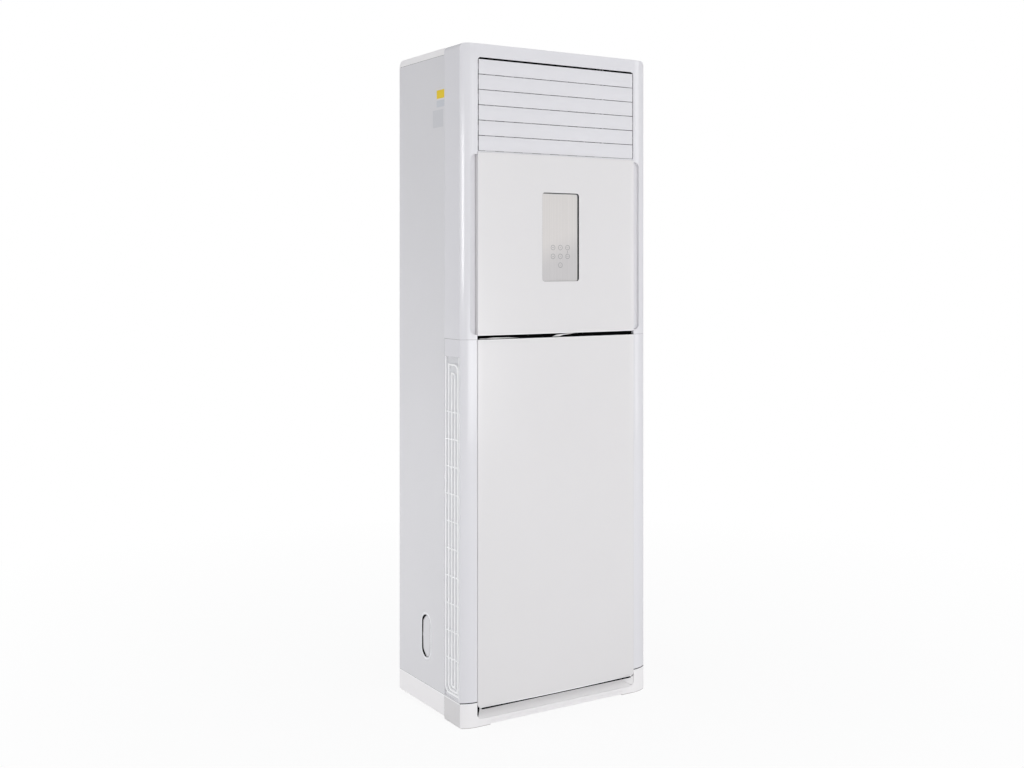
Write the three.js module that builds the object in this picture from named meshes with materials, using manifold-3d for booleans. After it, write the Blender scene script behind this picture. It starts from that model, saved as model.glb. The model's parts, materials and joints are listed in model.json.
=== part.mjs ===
// Floor standing air conditioner, indoor unit. Millimetres, +Z up, front towards -Y.
// The origin is on the floor, under the middle of the whole unit.
import * as THREE from 'three';
import { mergeVertices } from 'three/addons/utils/BufferGeometryUtils.js';
import Module from 'manifold-3d';

const wasm = await Module();
wasm.setup();

// Cabinet
const bodyWidth = 606; // across the side panels
const frameToRear = 362; // face of the front frame to the back panel
const panelProud = 6; // crown of the front panels ahead of the frame's face
const stripDepth = 97; // depth of the moulded front frame
const sheet = 1.2; // painted steel sheet
const wall = 3; // moulded wall
const seat = 0.3; // left between pieces that rest on each other
const runningFit = 0.3; // radial, between a pin and its bore

// Front panels, from the floor up
const pillarWidth = 45.7; // from the unit's side to the panels' recess
const panelSideGap = 0.7;
const panelEdgeProud = 1.5; // at the panel's side edges
const panelCornerRadius = 3;
const lowerPanelFootRadius = 12;
const lowerPanelBottom = 49;
const lowerPanelHeight = 970;
const panelSplit = 11; // open slot between the two panels
const splitTrimThickness = 2; // dark strip on the slot's floor
const splitTrimGap = 0.6; // strip to the panels' edges
const middlePanelHeight = 484;
const louverSill = 3.3; // middle panel's top to the louvre opening
const rebateDepth = 12; // the panels sink into the front frame by this much
const rebateFlange = 21; // width of the ledge behind the panel's edge

// Front frame
const pillarTurn = 16; // depth of the pillar's quarter ellipse
const topRail = 35.6; // louvre opening to the top of the frame
const frameTopRadius = 14;
const frameSeamBelowSplit = 1; // seam between the two frames, above the lower panel's top
const gripWidth = 20.7;
const gripDepth = 11;
const gripCorner = 15; // outer corners only
const gripFootRise = 3; // grip's lower end above the middle panel's lower edge
const gripTopDrop = 6; // grip's upper end below the middle panel's top

// Louvres
const louverCount = 6;
const louverPitch = 40.4;
const louverHeight = 39.2;
const louverThickness = 3;
const louverAhead = 8; // face of a closed louvre ahead of its pivot
const louverEndGap = 2.6; // louvre to the side of the opening
const louverSillGap = 0.9;
const louverHeadGap = 5;
const openingSideStep = 1.7; // the opening's side from the pillar's inner edge
const openingRadius = 8; // upper corners
const openingFootRadius = 1.5; // lower corners
const pinRadius = 2.5;
const earThickness = 3;
const earHalfHeight = 8;
const louverLinkPin = { y: 6, z: 24, radius: 2 }; // from the louvre's pivot
const louverLinkX = 150;
const linkThickness = 3;
const linkHalfWidth = 3;

// Outlet duct and the vertical vanes in it
const ductSideGap = 2.4; // duct wall outside the louvre opening
const ductHeadroom = 8.8; // above the louvre opening
const ductFloorDrop = 7.3; // below the louvre opening
const ductDepth = 112;
const vaneCount = 8;
const vaneEndGap = 48; // first and last pivot to the duct's side
const vaneThickness = 2;
const vaneChord = 46;
const vanePivotSetback = 48; // behind the frame's face
const vaneLead = 8; // front edge ahead of the vane's pivot
const vaneFloorGap = 10;
const vaneRoofGap = 6;
const vaneLinkArm = 29; // link pin behind the vane's pivot
const vaneLinkPinRadius = 1.5;
const motorRadius = 11;
const motorLength = 18;
const motorShaftOffset = 9;
const motorShaftRadius = 2;

// Display window in the middle panel
const windowWidth = 121;
const windowHeight = 239.5;
const windowBottomRise = 143.5; // above the middle panel's lower edge
const windowRadius = 8;
const plateThickness = 3;
const plateOverlap = 6;
const boardThickness = 1.6;
const boardInset = 9; // display board inside the plate's edge

// Base
const baseHeight = 66;
const footHeight = 3; // front skirt's underside between its feet
const footLength = 86;
const skirtFootRadius = 5; // bottom corners seen from the front
const skirtGroove = { height: 11, width: 1, depth: 0.8 };
const trayClearance = 9; // rear tray above the floor
const trayFootInset = 14;
const baseWall = 4;
const scoopTopDepth = 24; // toe scoop under the lower panel
const scoopCorner = 14;
const scoopLipHeight = 20;
const scoopLipSetback = 2;
const panelPivotSetback = 6; // behind the frame's face
const panelPivotHeight = 60;
const panelHookX = 200;

// Side and back of the cabinet
const capHeight = 18;
const capBelowFrame = 3; // cap's top below the front frame's top
const capWall = 2;
const capRearRadius = 18;
const sideFlange = 20;
const frontFlange = 10;
const knockout = { setback: 201.5, bottom: 140, height: 116, width: 47, gap: 1.2, sink: 2.2, thickness: 1.4 };
const knockoutTab = { width: 8, reach: 4 };
const servicePanelHeight = 190; // lower plate of the back
const pipeOpening = { sideGap: 88, rise: 44, width: 90, height: 70, radius: 20 };

// Side intake grilles
const grille = {
  centreSetback: 51, // middle of the loops behind the frame's face
  loopHalfWidths: [40, 24, 8.2],
  loopTops: [990, 952, 929], // the outer loop runs out through the recess's top
  loopBottoms: [80, 89, 100],
  recessBottom: 70,
  recessTop: 973,
  roundCorner: 18, // upper front and lower rear corners of the loops
  barWidth: 5,
  depth: 8,
  ribCount: 10,
  ribPitch: 72.7,
  firstRib: 172,
  ribWidth: 3,
  ribInset: 2,
  frontBar: 3,
};
const filterThickness = 4;
const filterMargin = 1; // beyond the recess, above and below
const filterBorder = 6;
const filterMesh = 1;
const filterRibCount = 7;

// Heat exchanger and its tray
const coilSideGap = 78; // fin block to the side of the cabinet
const coilThickness = 40;
const coilHeight = 820;
const coilTilt = THREE.MathUtils.degToRad(10);
const coilFootY = -20;
const coilPlate = 3;
const bendCount = 12;
const bendRadius = 12;
const tubeRadius = 4.5;
const coilTabHeight = 40;
const trayBottom = 600;
const trayHeight = 40;
const trayWall = 2.5;
const trayDepth = 90;

// Blower
const wheelRadius = 150;
const wheelWidth = 100;
const wheelBladeCount = 24;
const wheelBladeDepth = 22;
const wheelBladeLean = 0.5; // tangential over radial
const wheelBladeThickness = 2;
const wheelDisc = 3; // thickness of the wheel's disc and rings
const wheelSides = 32;
const hubRadius = 22;
const hubLength = 29;
const shaftRadius = 6;
const blowerCentreZ = 330;
const scrollStart = 166; // spiral radius at the tongue
const scrollEnd = 216; // and where it turns up into the outlet
const tongueAngle = THREE.MathUtils.degToRad(100);
const scrollTop = 590;
const scrollDepth = 130;
const scrollSetback = 120; // front of the blower behind the frame's face
const inletRadius = 112;
const inletLip = 14;
const inletThroat = 23; // bellmouth's depth behind the blower's front
const inletSides = 24;
const motorBodyRadius = 62;
const motorBodyLength = 76;
const motorCapLength = 8;
const bracketWidth = 240;
const bracketHeight = 70;
const bracketThickness = 3;

// Electrics and refrigerant pipes
const boxSideInset = 12.3; // electric box inside the pillars' inner edges
const boxRise = 30; // above the middle panel's lower edge
const boxHeight = 180;
const boxDepth = 62;
const boxWall = 1.5;
const gasPipe = { radius: 8, sideGap: 31, y: 40, jointRise: 150, nutRadius: 15 };
const liquidPipe = { radius: 5, sideGap: 57, y: 42, jointRise: 90, nutRadius: 11 };
const pipeLead = 8; // straight start of a pipe at the coil
const pipeDrop = 55; // height of a pipe's bend
const pipeBottom = 196;
const nutLength = 24;

// Places worked out from the sizes above
const bodyDepth = frameToRear + panelProud;
const halfWidth = bodyWidth / 2;
const frontY = panelProud - bodyDepth / 2;
const rearY = bodyDepth / 2;
const stripRearY = frontY + stripDepth;
const pillarInner = halfWidth - pillarWidth;
const panelHalf = pillarInner - panelSideGap;
const lowerPanelTop = lowerPanelBottom + lowerPanelHeight;
const middlePanelBottom = lowerPanelTop + panelSplit;
const middlePanelTop = middlePanelBottom + middlePanelHeight;
const frameSeam = lowerPanelTop + frameSeamBelowSplit;
const openingBottom = middlePanelTop + louverSill;
const firstPivotZ = openingBottom + louverSillGap + louverHeight / 2;
const topPivotZ = firstPivotZ + (louverCount - 1) * louverPitch;
const openingTop = topPivotZ + louverHeight / 2 + louverHeadGap;
const bodyHeight = openingTop + topRail;
const openingHalf = pillarInner - openingSideStep;
const louverHalf = openingHalf - louverEndGap;
const louverPivotY = frontY + louverAhead;
const ductHalf = openingHalf + ductSideGap;
const ductFloor = openingBottom - ductFloorDrop;
const ductRoof = openingTop + ductHeadroom;
const ductFrontY = frontY + wall + seat;
const ductRearY = ductFrontY + ductDepth;
const vanePivotY = frontY + vanePivotSetback;
const firstVaneX = vaneEndGap - ductHalf;
const vanePitch = (-2 * firstVaneX) / (vaneCount - 1);
const rebateY = frontY + rebateDepth;
const windowHalf = windowWidth / 2;
const windowBottom = middlePanelBottom + windowBottomRise;
const windowTop = windowBottom + windowHeight;
const capTop = bodyHeight - capBelowFrame;
const capBottom = capTop - capHeight;
const innerHalf = halfWidth - sheet;
const coilHalf = halfWidth - coilSideGap;
const boxHalfWidth = pillarInner - boxSideInset;
const grilleFrontY = frontY + pillarTurn + 1;

const finishes = {
  whiteGloss: { color: 0xe2e3e3, roughness: 0.22, metalness: 0 },
  whitePanel: { color: 0xe4e2df, roughness: 0.25, metalness: 0 },
  whiteBase: { color: 0xd9dada, roughness: 0.45, metalness: 0 },
  paintedSheet: { color: 0xd3d4d4, roughness: 0.5, metalness: 0 },
  brushedPlate: { color: 0xc8cace, roughness: 0.35, metalness: 0.85 },
  blackPlastic: { color: 0x1b1c1e, roughness: 0.55, metalness: 0 },
  greyPlastic: { color: 0x8a8c8e, roughness: 0.6, metalness: 0 },
  greenBoard: { color: 0x1f5a3a, roughness: 0.5, metalness: 0 },
  zincSteel: { color: 0xa9adb0, roughness: 0.4, metalness: 0.9 },
  aluminiumFin: { color: 0xb9bdc0, roughness: 0.4, metalness: 0.9 },
  copper: { color: 0xb87346, roughness: 0.3, metalness: 1 },
  filterMesh: { color: 0x4c5156, roughness: 0.8, metalness: 0 },
};

// Which way a flat outline is pushed: its two axes, then the push.
const axisX = new THREE.Vector3(1, 0, 0);
const axisY = new THREE.Vector3(0, 1, 0);
const axisZ = new THREE.Vector3(0, 0, 1);
const pushes = {
  x: new THREE.Matrix4().makeBasis(axisY, axisZ, axisX),
  y: new THREE.Matrix4().makeBasis(axisX, axisZ, axisY.clone().negate()),
  z: new THREE.Matrix4(),
};

function toSolid(geometry) {
  const bare = geometry.clone();
  bare.deleteAttribute('normal');
  bare.deleteAttribute('uv');
  const merged = mergeVertices(bare, 1e-4);
  const kept = [];
  const corners = merged.index.array;
  for (let i = 0; i < corners.length; i += 3) {
    const [a, b, c] = [corners[i], corners[i + 1], corners[i + 2]];
    if (a !== b && b !== c && c !== a) kept.push(a, b, c);
  }
  const vertProperties = new Float32Array(merged.attributes.position.array);
  return new wasm.Manifold(new wasm.Mesh({ numProp: 3, vertProperties, triVerts: new Uint32Array(kept) }));
}

function extrude(outline, axis, from, to, curveSegments = 3) {
  const settings = { depth: to - from, bevelEnabled: false, curveSegments };
  const geometry = new THREE.ExtrudeGeometry(outline, settings);
  geometry.applyMatrix4(pushes[axis]);
  const shift = new THREE.Vector3();
  shift[axis] = axis === 'y' ? to : from;
  geometry.translate(shift.x, shift.y, shift.z);
  return toSolid(geometry);
}

function box(x0, x1, y0, y1, z0, z1) {
  const geometry = new THREE.BoxGeometry(x1 - x0, y1 - y0, z1 - z0);
  geometry.translate((x0 + x1) / 2, (y0 + y1) / 2, (z0 + z1) / 2);
  return toSolid(geometry);
}

// A disc, hole or pin along an axis; u and v are the other two coordinates in x, y, z order.
function rod(axis, radius, from, to, u, v, sides = 16) {
  const circle = new THREE.Shape();
  circle.absarc(u, v, radius, 0, Math.PI * 2);
  return extrude(circle, axis, from, to, sides / 2);
}

function fuse(...solids) {
  return solids.reduce((sum, solid) => sum.add(solid));
}

function cut(solid, ...tools) {
  return tools.reduce((rest, tool) => rest.subtract(tool), solid);
}

// Rectangle with a radius for each corner: low right, high right, high left, low left.
function corneredOutline(u0, u1, v0, v1, radii) {
  const outline = new THREE.Shape();
  outline.moveTo(u0 + radii[3], v0);
  const corners = [[u1, v0], [u1, v1], [u0, v1], [u0, v0]];
  corners.forEach(([u, v], i) => {
    const radius = radii[i];
    const start = ((i - 1) * Math.PI) / 2;
    const centreU = u === u1 ? u1 - radius : u0 + radius;
    const centreV = v === v1 ? v1 - radius : v0 + radius;
    if (radius === 0) outline.lineTo(u, v);
    else outline.absarc(centreU, centreV, radius, start, start + Math.PI / 2);
  });
  return outline;
}

function roundedOutline(u0, u1, v0, v1, lower, upper = lower) {
  return corneredOutline(u0, u1, v0, v1, [lower, upper, upper, lower]);
}

function polygon(points) {
  return new THREE.Shape(points.map(([u, v]) => new THREE.Vector2(u, v)));
}

const model = new THREE.Group();

function place(name, solid, finish, position = [0, 0, 0], rotation = [0, 0, 0]) {
  const { vertProperties, triVerts } = solid.getMesh();
  const indexed = new THREE.BufferGeometry();
  indexed.setAttribute('position', new THREE.BufferAttribute(new Float32Array(vertProperties), 3));
  indexed.setIndex(new THREE.BufferAttribute(new Uint32Array(triVerts), 1));
  const geometry = indexed.toNonIndexed();
  geometry.computeVertexNormals();
  const mesh = new THREE.Mesh(geometry, new THREE.MeshStandardMaterial(finishes[finish]));
  mesh.name = name;
  mesh.position.set(...position);
  mesh.rotation.set(...rotation);
  model.add(mesh);
}

// Plan of the moulded front: flat face, quarter-ellipse pillars, straight sides.
function frontPlan(inset, rear) {
  const outline = new THREE.Shape();
  const across = halfWidth - pillarInner - inset;
  const deep = pillarTurn - inset;
  outline.absellipse(-pillarInner, frontY + pillarTurn, across, deep, Math.PI, Math.PI * 1.5);
  outline.absellipse(pillarInner, frontY + pillarTurn, across, deep, Math.PI * 1.5, Math.PI * 2);
  outline.lineTo(halfWidth - inset, rear);
  outline.lineTo(-halfWidth + inset, rear);
  return outline;
}

function frontBlock(inset, bottom, top) {
  return extrude(frontPlan(inset, stripRearY + inset), 'z', bottom, top, 5);
}

// U-shaped shell between two levels, open behind.
function frontShell(bottom, top) {
  const outside = frontBlock(0, bottom, top);
  return cut(outside, frontBlock(wall, bottom - wall, top + wall));
}

// Ledge that a panel sinks on to, with a window through it.
function cutRebate(shell, bottom, top, windowLow, windowHigh) {
  const back = rebateY + wall;
  const block = box(-pillarInner - wall, pillarInner + wall, frontY + wall / 2, back, bottom, top);
  const joined = fuse(shell, block.intersect(frontBlock(0, bottom, top)));
  const recess = box(
    -pillarInner, pillarInner, frontY - wall, rebateY, bottom - wall, top - louverSill + seat,
  );
  const half = pillarInner - rebateFlange;
  const window = box(-half, half, frontY, back + wall, windowLow, windowHigh);
  return cut(joined, recess, window);
}

// Recess for a side grille, from the pillar's edge back.
function pocket(side, inset, depth) {
  const rear = frontY + grille.centreSetback + grille.loopHalfWidths[0] + grille.barWidth / 2 - inset;
  const low = grille.recessBottom + inset;
  const recess = box(
    halfWidth - depth, halfWidth + wall, grilleFrontY + inset, rear, low, grille.recessTop - inset,
  );
  return side < 0 ? recess.mirror([1, 0, 0]) : recess;
}

function lowerFrontFrame() {
  const bottom = baseHeight + seat / 2;
  const top = frameSeam - seat / 2;
  const shell = frontShell(bottom, top);
  const rail = rebateFlange;
  const framed = cutRebate(shell, bottom, top + louverSill, bottom + rail, top - rail);
  const trimmed = cut(
    framed, box(-halfWidth, halfWidth, frontY - wall, stripRearY, top, top + louverSill * 2),
  );
  return cut(trimmed, pocket(-1, 0, wall * 3), pocket(1, 0, wall * 3));
}

// Finger grip: a long trough in the pillar's face beside the middle panel.
function gripTrough(side, grow, depth) {
  const low = middlePanelBottom + gripFootRise - grow;
  const high = middlePanelTop - gripTopDrop + grow;
  const round = gripCorner + grow;
  const outer = pillarInner + gripWidth + grow;
  const outline = corneredOutline(pillarInner - grow, outer, low, high, [round, round, 0, 0]);
  const trough = extrude(outline, 'y', frontY - wall, frontY + depth + grow);
  return side < 0 ? trough.mirror([1, 0, 0]) : trough;
}

function upperFrontFrame() {
  const bottom = frameSeam + seat / 2;
  const frontOutline = roundedOutline(-halfWidth, halfWidth, bottom, bodyHeight, 0.5, frameTopRadius);
  const inset = halfWidth - wall;
  const roofInside = bodyHeight - wall;
  const innerOutline = roundedOutline(-inset, inset, 0, roofInside, 0.5, frameTopRadius - wall);
  const outside = frontBlock(0, bottom, bodyHeight).intersect(
    extrude(frontOutline, 'y', frontY - wall, rearY),
  );
  const inside = frontBlock(wall, 0, roofInside).intersect(extrude(innerOutline, 'y', frontY - wall, rearY));
  const rail = rebateFlange;
  const bosses = fuse(gripTrough(-1, wall, gripDepth), gripTrough(1, wall, gripDepth)).intersect(outside);
  const shell = fuse(cut(outside, inside), bosses);
  const framed = cutRebate(shell, bottom, openingBottom, middlePanelBottom + rail, middlePanelTop - rail);
  const opening = extrude(
    roundedOutline(-openingHalf, openingHalf, openingBottom, openingTop, openingFootRadius, openingRadius),
    'y',
    frontY - wall,
    frontY + wall * 2,
  );
  const troughs = fuse(gripTrough(-1, 0, gripDepth), gripTrough(1, 0, gripDepth));
  return cut(framed, troughs, opening);
}

// Outline of a grille loop; the lower rear and upper front corners are round.
function loopOutline(half, low, high, round) {
  const middle = frontY + grille.centreSetback;
  return corneredOutline(middle - half, middle + half, low, high, [round, 0, round, 0]);
}

function loopBar(i) {
  const bar = grille.barWidth;
  const half = grille.loopHalfWidths[i] + bar / 2;
  const low = grille.loopBottoms[i] - bar / 2;
  const high = grille.loopTops[i] + bar / 2;
  const round = Math.min(grille.roundCorner, half);
  const ring = loopOutline(half, low, high, round);
  ring.holes.push(loopOutline(half - bar, low + bar, high - bar, round - bar));
  return extrude(ring, 'x', halfWidth - grille.depth, halfWidth, 2);
}

function intakeGrille(side) {
  const inner = halfWidth - grille.depth;
  const { recessBottom, recessTop, ribWidth } = grille;
  const loops = grille.loopHalfWidths.map((_, i) => loopBar(i));
  const bar = box(inner, halfWidth, grilleFrontY, grilleFrontY + grille.frontBar, recessBottom, recessTop);
  const ribs = Array.from({ length: grille.ribCount }, (_, i) => {
    const z = grille.firstRib + i * grille.ribPitch;
    return box(
      inner, halfWidth - grille.ribInset, grilleFrontY, stripRearY, z - ribWidth / 2, z + ribWidth / 2,
    );
  });
  const clipped = fuse(...loops, bar, ...ribs).intersect(pocket(1, seat, grille.depth));
  return side < 0 ? clipped.mirror([1, 0, 0]) : clipped;
}

function airFilter(side) {
  const outer = halfWidth - grille.depth - seat;
  const inner = outer - filterThickness;
  const rearEdge = stripRearY - wall;
  const low = grille.recessBottom - filterMargin;
  const high = grille.recessTop + filterMargin;
  const frame = box(inner, outer, grilleFrontY, rearEdge, low, high);
  const span = (high - low - filterBorder) / filterRibCount;
  const cells = Array.from({ length: filterRibCount }, (_, i) => {
    const z = low + filterBorder + i * span;
    const cellFront = grilleFrontY + filterBorder;
    return box(
      inner + filterMesh, outer + wall, cellFront, rearEdge - filterBorder, z, z + span - filterBorder,
    );
  });
  const whole = cut(frame, ...cells);
  return side < 0 ? whole.mirror([1, 0, 0]) : whole;
}

// Front panel: crowned in plan, with returned edges and an open back.
function crownedPlan(half, backY, inset) {
  const edge = frontY - panelEdgeProud + inset;
  const crown = frontY - panelProud + inset;
  const outline = new THREE.Shape();
  outline.moveTo(-half, backY);
  outline.lineTo(-half, edge);
  outline.quadraticCurveTo(0, 2 * crown - edge, half, edge);
  outline.lineTo(half, backY);
  return outline;
}

function crownedPanel(bottom, top, footRadius) {
  const backY = rebateY - seat;
  const face = roundedOutline(-panelHalf, panelHalf, bottom, top, footRadius, panelCornerRadius);
  const half = panelHalf - wall;
  const innerFace = roundedOutline(
    -half, half, bottom + wall, top - wall, footRadius - wall / 2, panelCornerRadius / 2,
  );
  const outside = extrude(crownedPlan(panelHalf, backY, 0), 'z', bottom, top, 12)
    .intersect(extrude(face, 'y', frontY - panelProud * 2, rearY, 2));
  const inside = extrude(crownedPlan(half, backY + wall, wall), 'z', bottom, top, 12)
    .intersect(extrude(innerFace, 'y', frontY - panelProud * 2, rearY, 2));
  return cut(outside, inside);
}

function middlePanel() {
  const panel = crownedPanel(middlePanelBottom, middlePanelTop, panelCornerRadius);
  const outline = roundedOutline(-windowHalf, windowHalf, windowBottom, windowTop, windowRadius);
  return cut(panel, extrude(outline, 'y', frontY - panelProud * 2, frontY + wall));
}

// The crowned skin's back face at a distance from mid-width.
function skinBack(x) {
  const share = 1 - (x / panelHalf) ** 2;
  return frontY - panelEdgeProud + wall - (panelProud - panelEdgeProud) * share;
}

function displayPlate() {
  const half = windowHalf + plateOverlap;
  const outline = roundedOutline(
    -half, half, windowBottom - plateOverlap, windowTop + plateOverlap, windowRadius,
  );
  const front = skinBack(half) + seat;
  return extrude(outline, 'y', front, front + plateThickness);
}

function displayBoard() {
  const half = windowHalf + plateOverlap - boardInset;
  const front = skinBack(windowHalf + plateOverlap) + plateThickness + seat * 2;
  const low = windowBottom - plateOverlap + boardInset;
  return box(-half, half, front, front + boardThickness, low, windowTop + plateOverlap - boardInset);
}

// Dark strip on the rebate's floor, seen through the slot between the panels.
function splitTrim() {
  const back = rebateY - seat;
  const low = lowerPanelTop + splitTrimGap;
  return box(-panelHalf, panelHalf, back - splitTrimThickness, back, low, middlePanelBottom - splitTrimGap);
}

const pivot = { y: frontY + panelPivotSetback, z: panelPivotHeight };
const lugWidth = 8;
const lugGap = 1;
const hookWidth = 6;

// Pins under the lower panel's bottom edge, each held by two lugs.
function panelHook(side) {
  const middle = side * panelHookX;
  const reach = hookWidth / 2 + lugGap + lugWidth;
  const root = frontY - panelEdgeProud;
  const lugs = [-1, 1].map((end) => {
    const centre = middle + end * (hookWidth / 2 + lugGap + lugWidth / 2);
    const x0 = centre - lugWidth / 2;
    return box(x0, x0 + lugWidth, root, pivot.y + pinRadius, pivot.z - pinRadius, pivot.z + pinRadius);
  });
  return fuse(...lugs, rod('x', pinRadius, middle - reach, middle + reach, pivot.y, pivot.z, 12));
}

function lowerPanel() {
  const panel = crownedPanel(lowerPanelBottom, lowerPanelTop, lowerPanelFootRadius);
  return fuse(panel, panelHook(-1), panelHook(1));
}

// Pair of feet under both ends of the base.
function footPads(front, rear, top, inset) {
  const outer = halfWidth - inset;
  const inner = halfWidth - footLength;
  return fuse(box(-outer, -inner, front, rear, 0, top), box(inner, outer, front, rear, 0, top));
}

// Toe scoop: a sloping shelf under the lower panel, closed by rounded ends.
function scoop(grow) {
  const top = baseHeight + wall;
  const lip = scoopLipHeight - grow;
  const rise = top - scoopLipHeight;
  const start = frontY - wall * 2;
  const profile = polygon([
    [start, top],
    [start, lip],
    [frontY + scoopLipSetback + grow, lip],
    [frontY + scoopTopDepth * 0.55 + grow, lip + rise * 0.3],
    [frontY + scoopTopDepth * 0.9 + grow, lip + rise * 0.65],
    [frontY + scoopTopDepth + grow, top],
  ]);
  const half = pillarInner + grow;
  const round = scoopCorner + grow;
  const face = corneredOutline(-half, half, lip, top, [round, 0, 0, round]);
  return extrude(profile, 'x', -half, half).intersect(extrude(face, 'y', start, stripRearY));
}

// Bearings for the lower panel's pins.
function panelHolder(side, top) {
  const middle = side * panelHookX;
  const reach = pinRadius + 2;
  const back = frontY + scoopTopDepth + wall;
  const high = Math.min(pivot.z + reach, top);
  const arm = box(
    middle - hookWidth / 2, middle + hookWidth / 2, pivot.y - reach, back, pivot.z - reach, high,
  );
  return cut(
    arm, rod('x', pinRadius + runningFit, middle - hookWidth, middle + hookWidth, pivot.y, pivot.z, 12),
  );
}

function frontSkirt() {
  const top = baseHeight - seat / 2;
  const ends = corneredOutline(-halfWidth, halfWidth, 0, top, [skirtFootRadius, 0, 0, skirtFootRadius]);
  const rounding = extrude(ends, 'y', frontY - wall, stripRearY + wall);
  const pads = footPads(frontY, stripRearY, footHeight + 1, 0).intersect(frontBlock(0, 0, footHeight + 1));
  const outside = fuse(frontBlock(0, footHeight, top), pads).intersect(rounding);
  const hollow = cut(frontBlock(wall, footHeight + wall, top + wall), scoop(wall));
  const { height, width, depth } = skirtGroove;
  const grooveHalf = halfWidth - footLength;
  const groove = box(
    -grooveHalf, grooveHalf, frontY - wall, frontY + depth, height - width / 2, height + width / 2,
  );
  return fuse(cut(outside, hollow, scoop(0), groove), panelHolder(-1, top), panelHolder(1, top));
}

function baseTray() {
  const front = stripRearY + seat;
  const top = baseHeight - seat / 2;
  const block = box(-halfWidth, halfWidth, front, rearY, trayClearance, top);
  const inner = halfWidth - baseWall;
  const floor = trayClearance + baseWall;
  const hollow = box(-inner, inner, front + baseWall, rearY - baseWall, floor, top + wall);
  const pads = footPads(front + trayFootInset, rearY - trayFootInset, trayClearance + 1, trayFootInset);
  return fuse(cut(block, hollow), pads);
}

function knockoutOutline(grow) {
  const middle = frontY + knockout.setback;
  const half = knockout.width / 2 + grow;
  return roundedOutline(
    middle - half, middle + half, knockout.bottom - grow, knockout.bottom + knockout.height + grow, half,
  );
}

function sidePanel(side) {
  const front = stripRearY + seat;
  const bottom = baseHeight + seat / 2;
  const top = capBottom - seat / 2;
  const skin = box(halfWidth - sheet, halfWidth, front, rearY, bottom, top);
  const rearFold = box(halfWidth - sideFlange, halfWidth, rearY - sheet, rearY, bottom, top);
  const frontFold = box(halfWidth - frontFlange, halfWidth, front, front + sheet, bottom, top);
  const panel = fuse(skin, rearFold, frontFold);
  if (side > 0) return panel;
  const hole = extrude(knockoutOutline(0), 'x', halfWidth - wall, halfWidth + wall);
  return cut(panel, hole).mirror([1, 0, 0]);
}

// Push-out plate sunk behind the sheet, held by a tab on each side.
function knockoutCover() {
  const { gap, sink, thickness, bottom, height, width } = knockout;
  const back = halfWidth - sink - thickness;
  const plate = extrude(knockoutOutline(-gap), 'x', back, halfWidth - sink);
  const middleY = frontY + knockout.setback;
  const middleZ = bottom + height / 2;
  const half = knockoutTab.width / 2;
  const face = innerHalf - seat;
  const out = knockoutTab.reach;
  const root = gap + 1;
  const tabs = [
    box(back, face, middleY + width / 2 - root, middleY + width / 2 + out, middleZ - half, middleZ + half),
    box(back, face, middleY - width / 2 - out, middleY - width / 2 + root, middleZ - half, middleZ + half),
    box(back, face, middleY - half, middleY + half, bottom + height - root, bottom + height + out),
    box(back, face, middleY - half, middleY + half, bottom - out, bottom + root),
  ];
  return fuse(plate, ...tabs).mirror([1, 0, 0]);
}

const backHalf = halfWidth - sideFlange - seat;
const servicePanelTop = baseHeight + servicePanelHeight;

function servicePanel() {
  const panel = box(
    -backHalf, backHalf, rearY - sheet, rearY, baseHeight + seat / 2, servicePanelTop - seat / 2,
  );
  const middle = pipeOpening.sideGap - halfWidth;
  const half = pipeOpening.width / 2;
  const low = baseHeight + pipeOpening.rise;
  const outline = roundedOutline(
    middle - half, middle + half, low, low + pipeOpening.height, pipeOpening.radius,
  );
  return cut(panel, extrude(outline, 'y', rearY - wall, rearY + wall));
}

function backPanel() {
  return box(-backHalf, backHalf, rearY - sheet, rearY, servicePanelTop + seat / 2, capBottom - seat / 2);
}

function topCover() {
  const front = stripRearY + seat;
  const low = capBottom + seat / 2;
  const profile = (inset, bottom) => {
    const outline = new THREE.Shape();
    const radius = capRearRadius - inset - 1;
    outline.moveTo(front + inset, bottom);
    outline.lineTo(rearY - inset, bottom);
    outline.absarc(rearY - inset - radius, capTop - inset - radius, radius, 0, Math.PI / 2);
    outline.lineTo(front + inset, capTop - inset);
    return outline;
  };
  const outside = extrude(profile(0, low), 'x', -halfWidth, halfWidth);
  const half = halfWidth - capWall;
  return cut(outside, extrude(profile(capWall, low - capWall), 'x', -half, half));
}

// One louvre about its own pivot.
function louver() {
  const back = -louverAhead + louverThickness;
  const root = back - 1;
  const edge = louverThickness / 2 - 0.2;
  const bladeOutline = roundedOutline(-louverAhead, back, -louverHeight / 2, louverHeight / 2, edge);
  const blade = extrude(bladeOutline, 'x', -louverHalf, louverHalf, 1);
  const nose = pinRadius * 2;
  const ear = polygon(
    [[root, -earHalfHeight], [pinRadius, -nose], [nose, 0], [pinRadius, nose], [root, earHalfHeight]],
  );
  const ears = [-louverHalf, louverHalf - earThickness].map((x) => extrude(ear, 'x', x, x + earThickness));
  const reach = ductHalf + wall / 2;
  const pins = [
    rod('x', pinRadius, -reach, -louverHalf + 1, 0, 0, 8),
    rod('x', pinRadius, louverHalf - 1, reach, 0, 0, 8),
  ];
  const { y, z, radius } = louverLinkPin;
  const grip = radius + 1.5;
  const foot = [z * 0.25, z * 0.7];
  const head = [[y, z - grip], [y + grip, z], [y, z + grip], [y - grip, z + grip / 2]];
  const lugX = louverLinkX + linkThickness + seat;
  const lug = extrude(polygon([[root, foot[0]], ...head, [root, foot[1]]]), 'x', lugX, lugX + linkThickness);
  const linkPin = rod('x', radius, louverLinkX - 1, lugX + 1, y, z, 8);
  return fuse(blade, ...ears, ...pins, lug, linkPin);
}

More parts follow.
